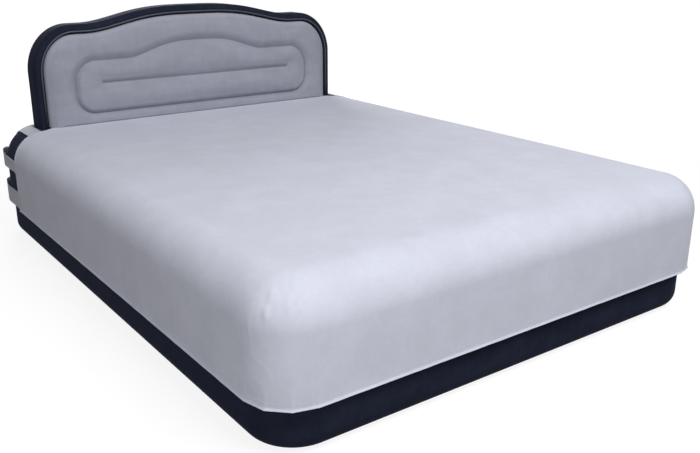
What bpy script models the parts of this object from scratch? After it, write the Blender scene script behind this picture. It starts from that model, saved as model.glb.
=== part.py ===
# Air bed: a low navy base chamber, a tall mattress chamber, an inflatable headboard with a
# camel-back outline, a fitted sheet held by straps at the head end, and a built-in air pump.
# Metres, +Z up. The head end is at +Y, and the origin is on the floor under the bed's middle.

import math

import bmesh
import bpy
from mathutils import Matrix, Vector

# The made-up bed, over the outside of the sheet
BED_LENGTH = 2.020
BED_WIDTH = 1.520
SLEEP_HEIGHT = 0.4035
SHEET_CORNER_RADIUS = 0.114
SHEET_EDGE_RADIUS = 0.1095
SHEET_THICKNESS = 0.0012
SHEET_HEAD_SETBACK = 0.248
HEM_HEIGHT = 0.122
HEM_ELASTIC_WIDTH = 0.012
HEM_ELASTIC_THICKNESS = 0.0025
HEM_FOLD = 0.001

# What touches without being joined keeps this much room
SEAT_GAP = 0.0003
CUT_OVERRUN = 0.002

# Base chamber and mattress chamber
VINYL = 0.0006
BASE_INSET = 0.0138
BASE_HEIGHT = 0.150
BASE_CORNER_RADIUS = 0.127
BASE_FOOT_ROUNDING = 0.0468
WELD_INSET = 0.030
HEAD_CORNER_RADIUS = 0.160
HEAD_EDGE_DEPTH = 0.085
MATTRESS_LOWER_RISE = 0.020
FLANGE_START = 0.0085
FLANGE_WIDTH = 0.012
FLANGE_THICKNESS = 0.0012

# Inner beams
MATTRESS_BEAM_COUNT = 5
BASE_BEAM_COUNT = 3
BEAM_THICKNESS = 0.0008
BEAM_END_ROOM = 0.020
BEAM_FIELD_SETBACK = 0.300
BEAM_HOLE_COUNT = 3
BEAM_HOLE_LENGTH = 0.160
BEAM_HOLE_HEIGHT = 0.060
BEAM_HOLE_ROUNDING_SHARE = 0.9

# Air ports
PORT_BORE_RADIUS = 0.022
PORT_WALL = 0.003
PORT_FLANGE = 0.010
PORT_FLANGE_THICKNESS = 0.002
PORT_SIDE_SETBACK = 0.310
HEADBOARD_PORT_BORE_RADIUS = 0.012

# Headboard, seen from the front
BOARD_BACK_SETBACK = 0.105
BOARD_DEPTH = 0.108
BOARD_SIDE_SETBACK = 0.115
BOARD_SPRING_HEIGHT = 0.600
BOARD_SHOULDER_HEIGHT = 0.772
BOARD_HUMP_RISE = 0.053
BOARD_HUMP_HALF_SPAN = 0.445
BOARD_CORNER_WIDTH = 0.154
BOARD_FOOT_RADIUS = 0.008
HUMP_SHAPE_POWER = 1.6
BOARD_FOOT_INSET_SHARE = 0.2
RIM_WIDTH = 0.034
RIM_VALLEY_DEPTH = 0.012
RIM_FRONT_ROUNDING = 0.018
BOARD_BACK_ROUNDING = 0.028
PANEL_CROWN = 0.027
PANEL_CROWN_WIDTH = 0.060
PANEL_FOOT_LIFT = 0.004

# The raised field on the headboard's panel, and the groove across it
FIELD_SIDE_INSET = 0.140
FIELD_FOOT_HEIGHT = 0.443
FIELD_SPRING_HEIGHT = 0.552
FIELD_SHOULDER_HEIGHT = 0.640
FIELD_HUMP_RISE = 0.053
FIELD_HUMP_HALF_SPAN = 0.300
FIELD_CORNER_WIDTH = 0.080
FIELD_FOOT_RADIUS = 0.070
FIELD_VALLEY_DEPTH = 0.011
FIELD_SLOPE_WIDTH = 0.034
FIELD_EDGE_WIDTH = 0.015
GROOVE_END_INSET = 0.095
GROOVE_HEIGHT = 0.557
GROOVE_HALF_WIDTH = 0.009
GROOVE_DEPTH = 0.007
PIPING_RADIUS = 0.0034
PIPING_INSET = 0.0255
TIE_THICKNESS = 0.0008
TIE_ROOM = 0.004
FOOT_WELD_WIDTH = 0.008
FOOT_WELD_THICKNESS = 0.001

# Straps at the head end
STRAP_THICKNESS = 0.0014
STRAP_CORNER_RADIUS = 0.114
UPPER_STRAP_FOOT = 0.263
UPPER_STRAP_WIDTH = 0.046
LOWER_STRAP_FOOT = 0.127
LOWER_STRAP_WIDTH = 0.065
STRAP_END_SETBACK = 0.390
TOP_STRAP_SETBACK = 0.060
TOP_STRAP_WIDTH = 0.045
TOP_STRAP_STANDOFF = 0.0018
PATCH_THICKNESS = 0.002
PATCH_WIDTH = 0.090
PATCH_HEIGHT = 0.118
PATCH_CORNER_RADIUS = 0.008
LOOP_ANGLE = math.radians(32)
LOOP_WIDTH = 0.024
LOOP_RISE = 0.024
LOOP_WALL = 0.0022
LOOP_CLEARANCE = 0.0012
LOOP_CHAMFER = 0.008

# Pump: face on the head wall, housing behind it
PUMP_HEIGHT = 0.232
PUMP_FACE_WIDTH = 0.210
PUMP_FACE_HEIGHT = 0.116
PUMP_FACE_RADIUS = 0.014
PUMP_FLANGE = 0.014
GASKET_THICKNESS = 0.0015
GASKET_SETBACK = 0.001
BEZEL_THICKNESS = 0.004
BEZEL_BEVEL = 0.0012
HOUSING_WALL = 0.0025
HOUSING_DEPTH = 0.112
HOUSING_MOUTH_RADIUS = 0.006
BOSS_RADIUS = 0.0044
BOSS_LENGTH = 0.016
BOSS_INSET = 0.0058
SCREW_RADIUS = 0.0014
SCREW_HEAD_RADIUS = 0.0034
SCREW_HEAD_HEIGHT = 0.0016
SCREW_LENGTH = 0.012
SCREW_CLEARANCE = 0.0004

# Fan and motor, in line with the selector dial
FAN_OFFSET = 0.047
VOLUTE_START = 0.030
VOLUTE_RADIUS = 0.040
VOLUTE_WALL = 0.002
VOLUTE_LENGTH = 0.026
VOLUTE_INLET_RADIUS = 0.018
IMPELLER_RADIUS = 0.033
IMPELLER_RUNNING_GAP = 0.003
IMPELLER_PLATE = 0.0016
IMPELLER_HUB_RADIUS = 0.0065
IMPELLER_BLADE_COUNT = 9
IMPELLER_BLADE_THICKNESS = 0.0014
IMPELLER_BLADE_HEIGHT = 0.013
IMPELLER_BLADE_SWEEP = math.radians(38)
BLADE_ROOT_SHARE = 0.7
HUB_TIP_SHARE = 0.8
SHAFT_RADIUS = 0.0025
SHAFT_CLEARANCE = 0.0004
MOTOR_CAP_THICKNESS = 0.0026
MOTOR_RADIUS = 0.0275
MOTOR_EDGE = 0.002

# Selector dial and its valve
DIAL_RADIUS = 0.0270
DIAL_CLEARANCE = 0.0005
DIAL_THICKNESS = 0.0052
DIAL_GRIP_HEIGHT = 0.0039
DIAL_GRIP_WIDTH = 0.009
DIAL_SHAFT_RADIUS = 0.004
VALVE_START = 0.005
VALVE_LENGTH = 0.018
VALVE_RADIUS = 0.024
VALVE_WALL = 0.0018
VALVE_WINDOW_HEIGHT = 0.010

# Rocker switch
SWITCH_OFFSET = 0.000
ROCKER_WIDTH = 0.0120
ROCKER_HEIGHT = 0.0200
ROCKER_DEPTH = 0.0052
ROCKER_TILT = math.radians(8)
ROCKER_CLEARANCE = 0.0012
ROCKER_PIN_RADIUS = 0.0012
SWITCH_WALL = 0.0014
SWITCH_DEPTH = 0.016

# Cord compartment
CORD_BOX_START = 0.014
CORD_BOX_WIDTH = 0.072
CORD_BOX_HEIGHT = 0.062
CORD_BOX_DEPTH = 0.055
CORD_BOX_WALL = 0.0015
DOOR_CLEARANCE = 0.0006
DOOR_THICKNESS = 0.0016
DOOR_BARREL_RADIUS = 0.0017
DOOR_PIN_RADIUS = 0.0007
DOOR_PIN_CLEARANCE = 0.0002
DOOR_PIN_SEAT = 0.003
DOOR_FINGER_RADIUS = 0.007
GLAND_RADIUS = 0.006
GLAND_BORE_RADIUS = 0.0035
GLAND_FLANGE = 0.003
GLAND_LENGTH = 0.009

# Outlet flap on the housing's side
OUTLET_WIDTH = 0.022
OUTLET_HEIGHT = 0.020
FLAP_LAP = 0.004
FLAP_THICKNESS = 0.0014
FLAP_BARREL_RADIUS = 0.0021
FLAP_PIN_RADIUS = 0.0009
FLAP_PIN_CLEARANCE = 0.0002
FLAP_LUG_WIDTH = 0.003

# How finely round shapes are divided
CORNER_STEPS = 6
EDGE_STEPS = 6
HUMP_STEPS = 16
FOOT_STEPS = 3
ROUND_STEPS = 24
SMALL_ROUND_STEPS = 12
PORT_STEPS = 16
BEAM_CORNER_STEPS = 2
SEAT_SAMPLES = 8
TOP_STRAP_COLUMNS = 5
TOP_STRAP_ROWS = 9
SMOOTH_ANGLE = math.radians(40)

# Levels and places that several pieces share
HALF_LENGTH = BED_LENGTH / 2
COVER = SHEET_THICKNESS + SEAT_GAP
MATTRESS_TOP = SLEEP_HEIGHT - COVER
MATTRESS_FOOT = BASE_HEIGHT + SEAT_GAP
PUMP_FACE_PROUD = GASKET_THICKNESS + 2 * SEAT_GAP + BEZEL_THICKNESS
HEAD_WALL = HALF_LENGTH - PUMP_FACE_PROUD - DIAL_GRIP_HEIGHT
SHEET_HEAD_EDGE = HALF_LENGTH - SHEET_HEAD_SETBACK
BOARD_BACK = HALF_LENGTH - BOARD_BACK_SETBACK
BOARD_FRONT = BOARD_BACK - BOARD_DEPTH
BOARD_FOOT = MATTRESS_TOP + SEAT_GAP
BOARD_MIDDLE = (BOARD_BACK + BOARD_FRONT) / 2
BOARD_HALF_WIDTH = BED_WIDTH / 2 - BOARD_SIDE_SETBACK
FIELD_HALF_WIDTH = BOARD_HALF_WIDTH - FIELD_SIDE_INSET
GROOVE_HALF_LENGTH = FIELD_HALF_WIDTH - GROOVE_END_INSET
STRAP_END = BED_WIDTH / 2 - STRAP_END_SETBACK
TOP_STRAP_INNER_EDGE = BED_WIDTH / 2 - TOP_STRAP_SETBACK - TOP_STRAP_WIDTH
AXIS_Y = Vector((0, 1, 0))
TO_FRONT_VIEW = Matrix.Rotation(math.pi / 2, 4, "X")


# The finish of one piece
def finish(piece, colour, roughness, metallic=0.0):
    material = bpy.data.materials.new(piece.name)
    material.use_nodes = True
    shader = material.node_tree.nodes["Principled BSDF"]
    shader.inputs["Base Color"].default_value = (*colour, 1)
    shader.inputs["Roughness"].default_value = roughness
    shader.inputs["Metallic"].default_value = metallic
    piece.data.materials.append(material)
    material.diffuse_color = (*colour, 1)
    return piece


NAVY = (0.018, 0.021, 0.040)
SHEET_GREY = (0.62, 0.63, 0.70)
PANEL_GREY = (0.27, 0.28, 0.34)
CLEAR_VINYL = (0.45, 0.48, 0.52)
DARK_PLASTIC = (0.030, 0.031, 0.036)
GREY_PLASTIC = (0.20, 0.21, 0.23)
STEEL = (0.55, 0.56, 0.58)
RUBBER = (0.05, 0.05, 0.052)


def cloth(piece):
    return finish(piece, SHEET_GREY, 0.85)


def flocked(piece):
    return finish(piece, NAVY, 0.80)


def vinyl(piece):
    return finish(piece, CLEAR_VINYL, 0.45)


def dark_plastic(piece):
    return finish(piece, DARK_PLASTIC, 0.40)


def grey_plastic(piece):
    return finish(piece, GREY_PLASTIC, 0.45)


def steel(piece):
    return finish(piece, STEEL, 0.30, 1.0)


def rubber(piece):
    return finish(piece, RUBBER, 0.70)


# Objects and meshes
def add_object(name, data):
    piece = bpy.data.objects.new(name, data)
    bpy.context.scene.collection.objects.link(piece)
    return piece


def add_mesh(name, bm, smooth=True):
    mesh = bpy.data.meshes.new(name)
    bm.to_mesh(mesh)
    bm.free()
    if smooth:
        mesh.shade_smooth()
        mesh.set_sharp_from_angle(angle=SMOOTH_ANGLE)
    return add_object(name, mesh)


def helper(piece):
    piece.hide_render = True
    piece.display_type = "WIRE"
    return piece


# Rings of equal count joined in order; each runs counterclockwise seen from where they lead
def loft(name, rings, close_first=False, close_last=False, open_rings=False, tidy=False):
    bm = bmesh.new()
    rows = [[bm.verts.new(point) for point in ring] for ring in rings]
    count = len(rows[0])
    for low, high in zip(rows, rows[1:]):
        for i in range(count - 1 if open_rings else count):
            j = (i + 1) % count
            bm.faces.new((low[i], low[j], high[j], high[i]))
    if close_first:
        bm.faces.new(reversed(rows[0]))
    if close_last:
        bm.faces.new(rows[-1])
    if tidy:
        bmesh.ops.recalc_face_normals(bm, faces=bm.faces)
    return add_mesh(name, bm)


def thicken(piece, wall, outward=False):
    solidify = piece.modifiers.new("wall", "SOLIDIFY")
    solidify.thickness = wall
    solidify.offset = 1 if outward else -1
    solidify.use_even_offset = True
    return piece


def cut(piece, *cutters):
    for cutter in cutters:
        boolean = piece.modifiers.new(cutter.name, "BOOLEAN")
        boolean.operation = "DIFFERENCE"
        boolean.object = cutter
    return piece


def fuse(piece, *additions):
    for addition in additions:
        boolean = piece.modifiers.new(addition.name, "BOOLEAN")
        boolean.operation = "UNION"
        boolean.object = addition
    return piece


# A flat piece from closed outlines, holes among them, extruded to its thickness about its middle
def flat_plate(name, outlines, thickness, matrix):
    curve = bpy.data.curves.new(name, "CURVE")
    curve.dimensions = "2D"
    curve.fill_mode = "BOTH"
    curve.extrude = thickness / 2
    for outline in outlines:
        spline = curve.splines.new("POLY")
        spline.points.add(len(outline) - 1)
        spline.use_cyclic_u = True
        for point, (u, v) in zip(spline.points, outline):
            point.co = (u, v, 0, 1)
    plate = add_object(name, curve)
    plate.matrix_world = matrix
    return plate


def tube(name, points, radius, resolution, matrix=None):
    curve = bpy.data.curves.new(name, "CURVE")
    curve.dimensions = "3D"
    curve.bevel_depth = radius
    curve.bevel_resolution = resolution
    curve.use_fill_caps = True
    spline = curve.splines.new("POLY")
    spline.points.add(len(points) - 1)
    for point, place in zip(spline.points, points):
        point.co = (*place, 1)
    piece = add_object(name, curve)
    if matrix is not None:
        piece.matrix_world = matrix
    return piece


# A body turned about the +Y axis through its origin: profile points are (radius, place along Y)
def turned(name, profile, place, steps=ROUND_STEPS):
    bm = bmesh.new()
    rings = []
    for i in range(steps):
        angle = 2 * math.pi * i / steps
        rings.append([bm.verts.new((r * math.cos(angle), y, r * math.sin(angle))) for r, y in profile])
    for first, second in zip(rings, rings[1:] + rings[:1]):
        for k in range(len(profile)):
            n = (k + 1) % len(profile)
            bm.faces.new((first[k], first[n], second[n], second[k]))
    bmesh.ops.remove_doubles(bm, verts=bm.verts, dist=SEAT_GAP * ON_AXIS_SHARE)
    bmesh.ops.recalc_face_normals(bm, faces=bm.faces)
    piece = add_mesh(name, bm)
    piece.location = place
    return piece


ON_AXIS_SHARE = 0.01


def rod(name, radius, start, end, place, steps=ROUND_STEPS):
    return turned(name, [(0, start), (radius, start), (radius, end), (0, end)], place, steps)


def block(name, low, high):
    bm = bmesh.new()
    bmesh.ops.create_cube(bm, size=1)
    size = Vector(high) - Vector(low)
    middle = (Vector(high) + Vector(low)) / 2
    bmesh.ops.transform(bm, matrix=Matrix.Diagonal((*size, 1)), verts=bm.verts)
    piece = add_mesh(name, bm, smooth=False)
    piece.location = middle
    return piece


def arc(centre, radii, start, end, steps):
    points = []
    for i in range(steps + 1):
        angle = start + (end - start) * i / steps
        points.append((centre[0] + radii[0] * math.cos(angle), centre[1] + radii[1] * math.sin(angle)))
    return points


def rounded_rectangle(half_width, half_height, radius, steps=FOOT_STEPS, middle=(0, 0)):
    points = []
    for turn, (u, v) in enumerate(((1, 1), (-1, 1), (-1, -1), (1, -1))):
        centre = (middle[0] + u * (half_width - radius), middle[1] + v * (half_height - radius))
        start = turn * math.pi / 2
        points += arc(centre, (radius, radius), start, start + math.pi / 2, steps)
    return points


def circle(radius, steps, middle=(0, 0)):
    return arc(middle, (radius, radius), 0, 2 * math.pi, steps)[:-1]


# The bed's outline in plan: half width, foot end, head end, and the radii at foot and head
class Plan:
    def __init__(self, half_width, foot, head, foot_radius, head_radius):
        self.values = (half_width, foot, head, foot_radius, head_radius)

    # The outline drawn in by one amount at the sides and foot, and another at the head
    def drawn_in(self, amount, head_amount=None):
        half_width, foot, head, foot_radius, head_radius = self.values
        head_amount = amount if head_amount is None else head_amount
        least_foot = foot_radius * LEAST_RADIUS_SHARE
        least_head = head_radius * LEAST_RADIUS_SHARE
        return Plan(
            half_width - amount,
            foot - amount,
            head - head_amount,
            max(foot_radius - amount, least_foot),
            max(head_radius - amount, least_head),
        )

    def blended(self, other, share):
        return Plan(*(a + (b - a) * share for a, b in zip(self.values, other.values)))

    def ring(self, height):
        half_width, foot, head, foot_radius, head_radius = self.values
        corners = (
            (half_width - head_radius, head - head_radius, head_radius),
            (head_radius - half_width, head - head_radius, head_radius),
            (foot_radius - half_width, foot_radius - foot, foot_radius),
            (half_width - foot_radius, foot_radius - foot, foot_radius),
        )
        points = []
        for turn, (x, y, radius) in enumerate(corners):
            start = turn * math.pi / 2
            points += arc((x, y), (radius, radius), start, start + math.pi / 2, CORNER_STEPS)
        return [(x, y, height) for x, y in points]

    # The same outline without its head end: left side, foot end and right side
    def open_ring(self, height, head_edge):
        points = self.ring(height)[2 * (CORNER_STEPS + 1):]
        half_width = self.values[0]
        return [(-half_width, head_edge, height), *points, (half_width, head_edge, height)]


LEAST_RADIUS_SHARE = 0.1

sheet_plan = Plan(BED_WIDTH / 2, HALF_LENGTH, HALF_LENGTH, SHEET_CORNER_RADIUS, SHEET_CORNER_RADIUS)
base_plan = Plan(
    BED_WIDTH / 2 - BASE_INSET,
    HALF_LENGTH - BASE_INSET,
    HALF_LENGTH - BASE_INSET,
    BASE_CORNER_RADIUS,
    BASE_CORNER_RADIUS,
)
weld_plan = base_plan.drawn_in(WELD_INSET)
mattress_plan = Plan(
    BED_WIDTH / 2 - COVER,
    HALF_LENGTH - COVER,
    HEAD_WALL,
    SHEET_CORNER_RADIUS - COVER,
    HEAD_CORNER_RADIUS,
)
edge_radius = SHEET_EDGE_RADIUS - COVER


def quarter(steps):
    return [math.pi / 2 * i / steps for i in range(steps + 1)]


# Air chambers
def base_chamber():
    rings = []
    for angle in quarter(EDGE_STEPS):
        inset = BASE_FOOT_ROUNDING * (1 - math.sin(angle))
        rings.append(base_plan.drawn_in(inset).ring(BASE_FOOT_ROUNDING * (1 - math.cos(angle))))
    for angle in quarter(EDGE_STEPS - 2):
        inset = WELD_INSET * (1 - math.cos(angle))
        height = BASE_HEIGHT - WELD_INSET + WELD_INSET * math.sin(angle)
        rings.append(base_plan.drawn_in(inset).ring(height))
    chamber = loft("base_chamber", rings, close_first=True, close_last=True)
    return flocked(thicken(chamber, VINYL))


def mattress_rounding(angle):
    inset = edge_radius * (1 - math.cos(angle))
    head_inset = HEAD_EDGE_DEPTH * (1 - math.cos(angle))
    height = MATTRESS_TOP - edge_radius + edge_radius * math.sin(angle)
    return mattress_plan.drawn_in(inset, head_inset), height


def mattress_chamber():
    rings = []
    for angle in quarter(EDGE_STEPS - 2):
        plan = weld_plan.blended(mattress_plan, math.sin(angle))
        rings.append(plan.ring(MATTRESS_FOOT + MATTRESS_LOWER_RISE * (1 - math.cos(angle))))
    for angle in quarter(EDGE_STEPS):
        plan, height = mattress_rounding(angle)
        rings.append(plan.ring(height))
    chamber = loft("mattress_chamber", rings, close_first=True, close_last=True)
    return flocked(thicken(chamber, VINYL))


def mid_weld_flange():
    inner = weld_plan.drawn_in(-FLANGE_START).ring(0)
    outer = weld_plan.drawn_in(-FLANGE_START - FLANGE_WIDTH).ring(0)
    outlines = [[point[:2] for point in ring] for ring in (outer, inner)]
    place = Matrix.Translation((0, 0, (BASE_HEIGHT + MATTRESS_FOOT) / 2))
    return flocked(flat_plate("mid_weld_flange", outlines, FLANGE_THICKNESS, place))


# A moulded ring through two walls, with a flange on each far side
def air_port(name, place, low_wall, high_wall, bore):
    neck = bore + PORT_WALL
    rim = neck + PORT_FLANGE
    profile = [
        (bore, low_wall - PORT_FLANGE_THICKNESS),
        (rim, low_wall - PORT_FLANGE_THICKNESS),
        (rim, low_wall),
        (neck, low_wall),
        (neck, high_wall),
        (rim, high_wall),
        (rim, high_wall + PORT_FLANGE_THICKNESS),
        (bore, high_wall + PORT_FLANGE_THICKNESS),
    ]
    port = turned(name, profile, place, PORT_STEPS)
    port.rotation_euler = (math.pi / 2, 0, 0)
    low = low_wall - CUT_OVERRUN
    high = high_wall + CUT_OVERRUN
    hole = helper(rod(name + "_hole", neck + SEAT_GAP, low, high, place, PORT_STEPS))
    hole.rotation_euler = (math.pi / 2, 0, 0)
    grey_plastic(port)
    return hole


def transfer_ports(base, mattress):
    low = BASE_HEIGHT - VINYL - SEAT_GAP
    high = MATTRESS_FOOT + VINYL + SEAT_GAP
    between_beams = (HALF_LENGTH - BEAM_FIELD_SETBACK) / (MATTRESS_BEAM_COUNT - 1)
    for side, word in ((-1, "left"), (1, "right")):
        place = (side * (BED_WIDTH / 2 - PORT_SIDE_SETBACK), between_beams, 0)
        hole = air_port("transfer_port_" + word, place, low, high, PORT_BORE_RADIUS)
        cut(base, hole)
        cut(mattress, hole)


# A transverse beam: a vinyl strip welded to floor and roof, with long holes that let air pass
def beam(name, y, low, high, half_length):
    half_height = (high - low) / 2
    outlines = [rounded_rectangle(half_length, half_height, half_height / 2, BEAM_CORNER_STEPS)]
    pitch = 2 * half_length / BEAM_HOLE_COUNT
    for i in range(BEAM_HOLE_COUNT):
        middle = (pitch * (i + 0.5) - half_length, 0)
        hole_half_height = min(BEAM_HOLE_HEIGHT / 2, half_height / 2)
        hole_half_length = min(BEAM_HOLE_LENGTH / 2, pitch / 3)
        corner = hole_half_height * BEAM_HOLE_ROUNDING_SHARE
        outlines.append(
            rounded_rectangle(hole_half_length, hole_half_height, corner, BEAM_CORNER_STEPS, middle)
        )
    place = Matrix.Translation((0, y, (low + high) / 2)) @ TO_FRONT_VIEW
    return vinyl(flat_plate(name, outlines, BEAM_THICKNESS, place))


def beams(name, count, low, high, flat_half_width):
    reach = HALF_LENGTH - BEAM_FIELD_SETBACK
    for i in range(count):
        y = -reach + 2 * reach * i / (count - 1)
        beam(f"{name}_{i + 1}", y, low, high, flat_half_width - BEAM_END_ROOM)


# Headboard outlines: half width, foot, foot corner, spring of the shoulder, shoulder, hump
class Outline:
    def __init__(self, half_width, foot, foot_radius, spring, shoulder, rise, half_span, corner_width):
        self.values = (half_width, foot, foot_radius, spring, shoulder, rise, half_span, corner_width)

    def drawn_in(self, amount, foot_share=1.0):
        half_width, foot, foot_radius, spring, shoulder, rise, half_span, corner_width = self.values
        return Outline(
            half_width - amount,
            foot + amount * foot_share,
            max(foot_radius - amount, foot_radius * LEAST_RADIUS_SHARE),
            spring,
            shoulder - amount,
            rise,
            half_span,
            corner_width - amount,
        )

    def blended(self, other, share):
        return Outline(*(a + (b - a) * share for a, b in zip(self.values, other.values)))

    # Height of the top edge's middle stretch, which swells from shoulder to hump
    def crest(self, x):
        shoulder, rise, half_span = self.values[4:7]
        share = min(abs(x) / half_span, 1)
        return shoulder + rise * (1 + math.cos(math.pi * share ** HUMP_SHAPE_POWER)) / 2

    # Counterclockwise seen from the front, from the foot's middle
    def points(self):
        half_width, foot, foot_radius, spring, shoulder, _, _, corner_width = self.values
        foot_end = half_width - foot_radius
        right = [(foot_end * i / FOOT_STEPS, foot) for i in range(FOOT_STEPS)]
        foot_centre = (foot_end, foot + foot_radius)
        right += arc(foot_centre, (foot_radius, foot_radius), -math.pi / 2, 0, FOOT_STEPS)
        corner_centre = (half_width - corner_width, spring)
        right += arc(corner_centre, (corner_width, shoulder - spring), 0, math.pi / 2, CORNER_STEPS)
        reach = corner_centre[0]
        for i in range(1, HUMP_STEPS // 2):
            x = reach * (1 - 2 * i / HUMP_STEPS)
            right.append((x, self.crest(x)))
        left = [(-x, z) for x, z in reversed(right[1:])]
        return right + [(0, self.crest(0))] + left

    def ring(self, y):
        return [(x, y, z) for x, z in self.points()]


board_outline = Outline(
    BOARD_HALF_WIDTH,
    BOARD_FOOT,
    BOARD_FOOT_RADIUS,
    BOARD_SPRING_HEIGHT,
    BOARD_SHOULDER_HEIGHT,
    BOARD_HUMP_RISE,
    BOARD_HUMP_HALF_SPAN,
    BOARD_CORNER_WIDTH,
)
field_outline = Outline(
    FIELD_HALF_WIDTH,
    FIELD_FOOT_HEIGHT,
    FIELD_FOOT_RADIUS,
    FIELD_SPRING_HEIGHT,
    FIELD_SHOULDER_HEIGHT,
    FIELD_HUMP_RISE,
    FIELD_HUMP_HALF_SPAN,
    FIELD_CORNER_WIDTH,
)


def groove_outline(half_width):
    half_length = GROOVE_HALF_LENGTH - GROOVE_HALF_WIDTH + half_width
    return Outline(
        half_length,
        GROOVE_HEIGHT - half_width,
        half_width,
        GROOVE_HEIGHT,
        GROOVE_HEIGHT + half_width,
        0,
        FIELD_HUMP_HALF_SPAN,
        half_width,
    )


# Back, sides, top and rim in one shell, open where the front panel is welded in
def headboard_shell():
    share = BOARD_FOOT_INSET_SHARE
    rings = []
    for angle in quarter(EDGE_STEPS - 2):
        inset = BOARD_BACK_ROUNDING * (1 - math.sin(angle))
        y = BOARD_BACK - BOARD_BACK_ROUNDING * (1 - math.cos(angle))
        rings.append(board_outline.drawn_in(inset, share).ring(y))
    for angle in quarter(EDGE_STEPS - 2):
        inset = RIM_FRONT_ROUNDING * (1 - math.cos(angle))
        y = BOARD_FRONT + RIM_FRONT_ROUNDING * (1 - math.sin(angle))
        rings.append(board_outline.drawn_in(inset, share).ring(y))
    for angle in quarter(FOOT_STEPS)[1:]:
        inset = RIM_FRONT_ROUNDING + (RIM_WIDTH - RIM_FRONT_ROUNDING) * math.sin(angle)
        y = BOARD_FRONT + RIM_VALLEY_DEPTH * (1 - math.cos(angle))
        rings.append(board_outline.drawn_in(inset, share).ring(y))
    shell = loft("headboard_shell", rings, close_first=True)
    return flocked(thicken(shell, VINYL))


# The puffed front: crown inside its weld, valley round the raised field, groove across it
def headboard_panel():
    edge = board_outline.drawn_in(RIM_WIDTH + SEAT_GAP, BOARD_FOOT_INSET_SHARE)
    weld_y = BOARD_FRONT + RIM_VALLEY_DEPTH
    front_y = BOARD_FRONT - PANEL_CROWN
    rings = []
    for angle in quarter(EDGE_STEPS - 1):
        inset = PANEL_CROWN_WIDTH * (1 - math.cos(angle))
        y = weld_y + (front_y - weld_y) * math.sin(angle)
        rings.append(edge.drawn_in(inset, PANEL_FOOT_LIFT / PANEL_CROWN_WIDTH).ring(y))
    outer = field_outline.drawn_in(-FIELD_SLOPE_WIDTH, PANEL_SLOPE_FOOT_SHARE)
    rings.append(outer.ring(front_y))
    middle = field_outline.drawn_in(-FIELD_SLOPE_WIDTH / 2, PANEL_SLOPE_FOOT_SHARE)
    rings.append(middle.ring(front_y + FIELD_VALLEY_DEPTH / 3))
    rings.append(field_outline.ring(front_y + FIELD_VALLEY_DEPTH))
    rings.append(field_outline.drawn_in(FIELD_EDGE_WIDTH / 2).ring(front_y + FIELD_VALLEY_DEPTH / 3))
    rings.append(field_outline.drawn_in(FIELD_EDGE_WIDTH).ring(front_y))
    groove = groove_outline(GROOVE_HALF_WIDTH)
    plateau = field_outline.drawn_in(FIELD_EDGE_WIDTH).blended(groove, 1 / 2)
    rings.append(plateau.ring(front_y))
    rings.append(groove.ring(front_y))
    bottom = groove_outline(GROOVE_HALF_WIDTH * GROOVE_BOTTOM_SHARE)
    rings.append(bottom.ring(front_y + GROOVE_DEPTH))
    panel = loft("headboard_panel", rings, close_last=True)
    return finish(thicken(panel, VINYL), PANEL_GREY, 0.85)


PANEL_SLOPE_FOOT_SHARE = 0.45
GROOVE_BOTTOM_SHARE = 0.2


# How far the rim's face lies behind the board's front, at an inset from the outline
def rim_depth(inset):
    if inset < RIM_FRONT_ROUNDING:
        share = 1 - inset / RIM_FRONT_ROUNDING
        return RIM_FRONT_ROUNDING * (1 - math.sqrt(1 - share * share))
    share = min((inset - RIM_FRONT_ROUNDING) / (RIM_WIDTH - RIM_FRONT_ROUNDING), 1)
    return RIM_VALLEY_DEPTH * (1 - math.sqrt(1 - share * share))


# The bead rests against the rim from the front, wherever its inset puts it
def piping_depth():
    reach = PIPING_RADIUS + SEAT_GAP
    depths = []
    for i in range(-SEAT_SAMPLES, SEAT_SAMPLES + 1):
        aside = reach * i / SEAT_SAMPLES
        depths.append(rim_depth(PIPING_INSET + aside) - math.sqrt(reach * reach - aside * aside))
    return min(depths)


def headboard_piping():
    path = board_outline.drawn_in(PIPING_INSET, BOARD_FOOT_INSET_SHARE).points()
    start = 2 * FOOT_STEPS
    path = path[start:len(path) - start + 1]
    y = BOARD_FRONT + piping_depth()
    foot = BOARD_FOOT + FOOT_WELD_THICKNESS + PIPING_RADIUS
    points = [(path[0][0], y, foot), *[(x, y, z) for x, z in path[1:-1]], (path[-1][0], y, foot)]
    return flocked(tube("headboard_piping", points, PIPING_RADIUS, 1))


def headboard_foot_weld():
    inner = SEAT_GAP
    outer = SEAT_GAP + FOOT_WELD_WIDTH
    outlines = [
        rounded_rectangle(
            BOARD_HALF_WIDTH + grow, BOARD_DEPTH / 2 + grow, FOOT_WELD_WIDTH, middle=(0, BOARD_MIDDLE)
        )
        for grow in (outer, inner)
    ]
    place = Matrix.Translation((0, 0, BOARD_FOOT + FOOT_WELD_THICKNESS / 2))
    return flocked(flat_plate("headboard_foot_weld", outlines, FOOT_WELD_THICKNESS, place))


# Ties inside the headboard run from the panel's valleys to the back wall
def headboard_ties():
    back = BOARD_BACK - VINYL - SEAT_GAP
    front = BOARD_FRONT - PANEL_CROWN + GROOVE_DEPTH + VINYL + SEAT_GAP
    half_length = GROOVE_HALF_LENGTH - TIE_ROOM
    low = (-half_length, front, GROOVE_HEIGHT - TIE_THICKNESS / 2)
    high = (half_length, back, GROOVE_HEIGHT + TIE_THICKNESS / 2)
    vinyl(block("headboard_groove_tie", low, high))
    front = BOARD_FRONT - PANEL_CROWN + FIELD_VALLEY_DEPTH + VINYL + SEAT_GAP
    path = field_outline.points()
    path = path[FOOT_STEPS:len(path) - FOOT_STEPS + 1]
    rings = [[(x, y, z) for x, z in path] for y in (back, front)]
    vinyl(thicken(loft("headboard_field_tie", rings, open_rings=True), TIE_THICKNESS))


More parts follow.
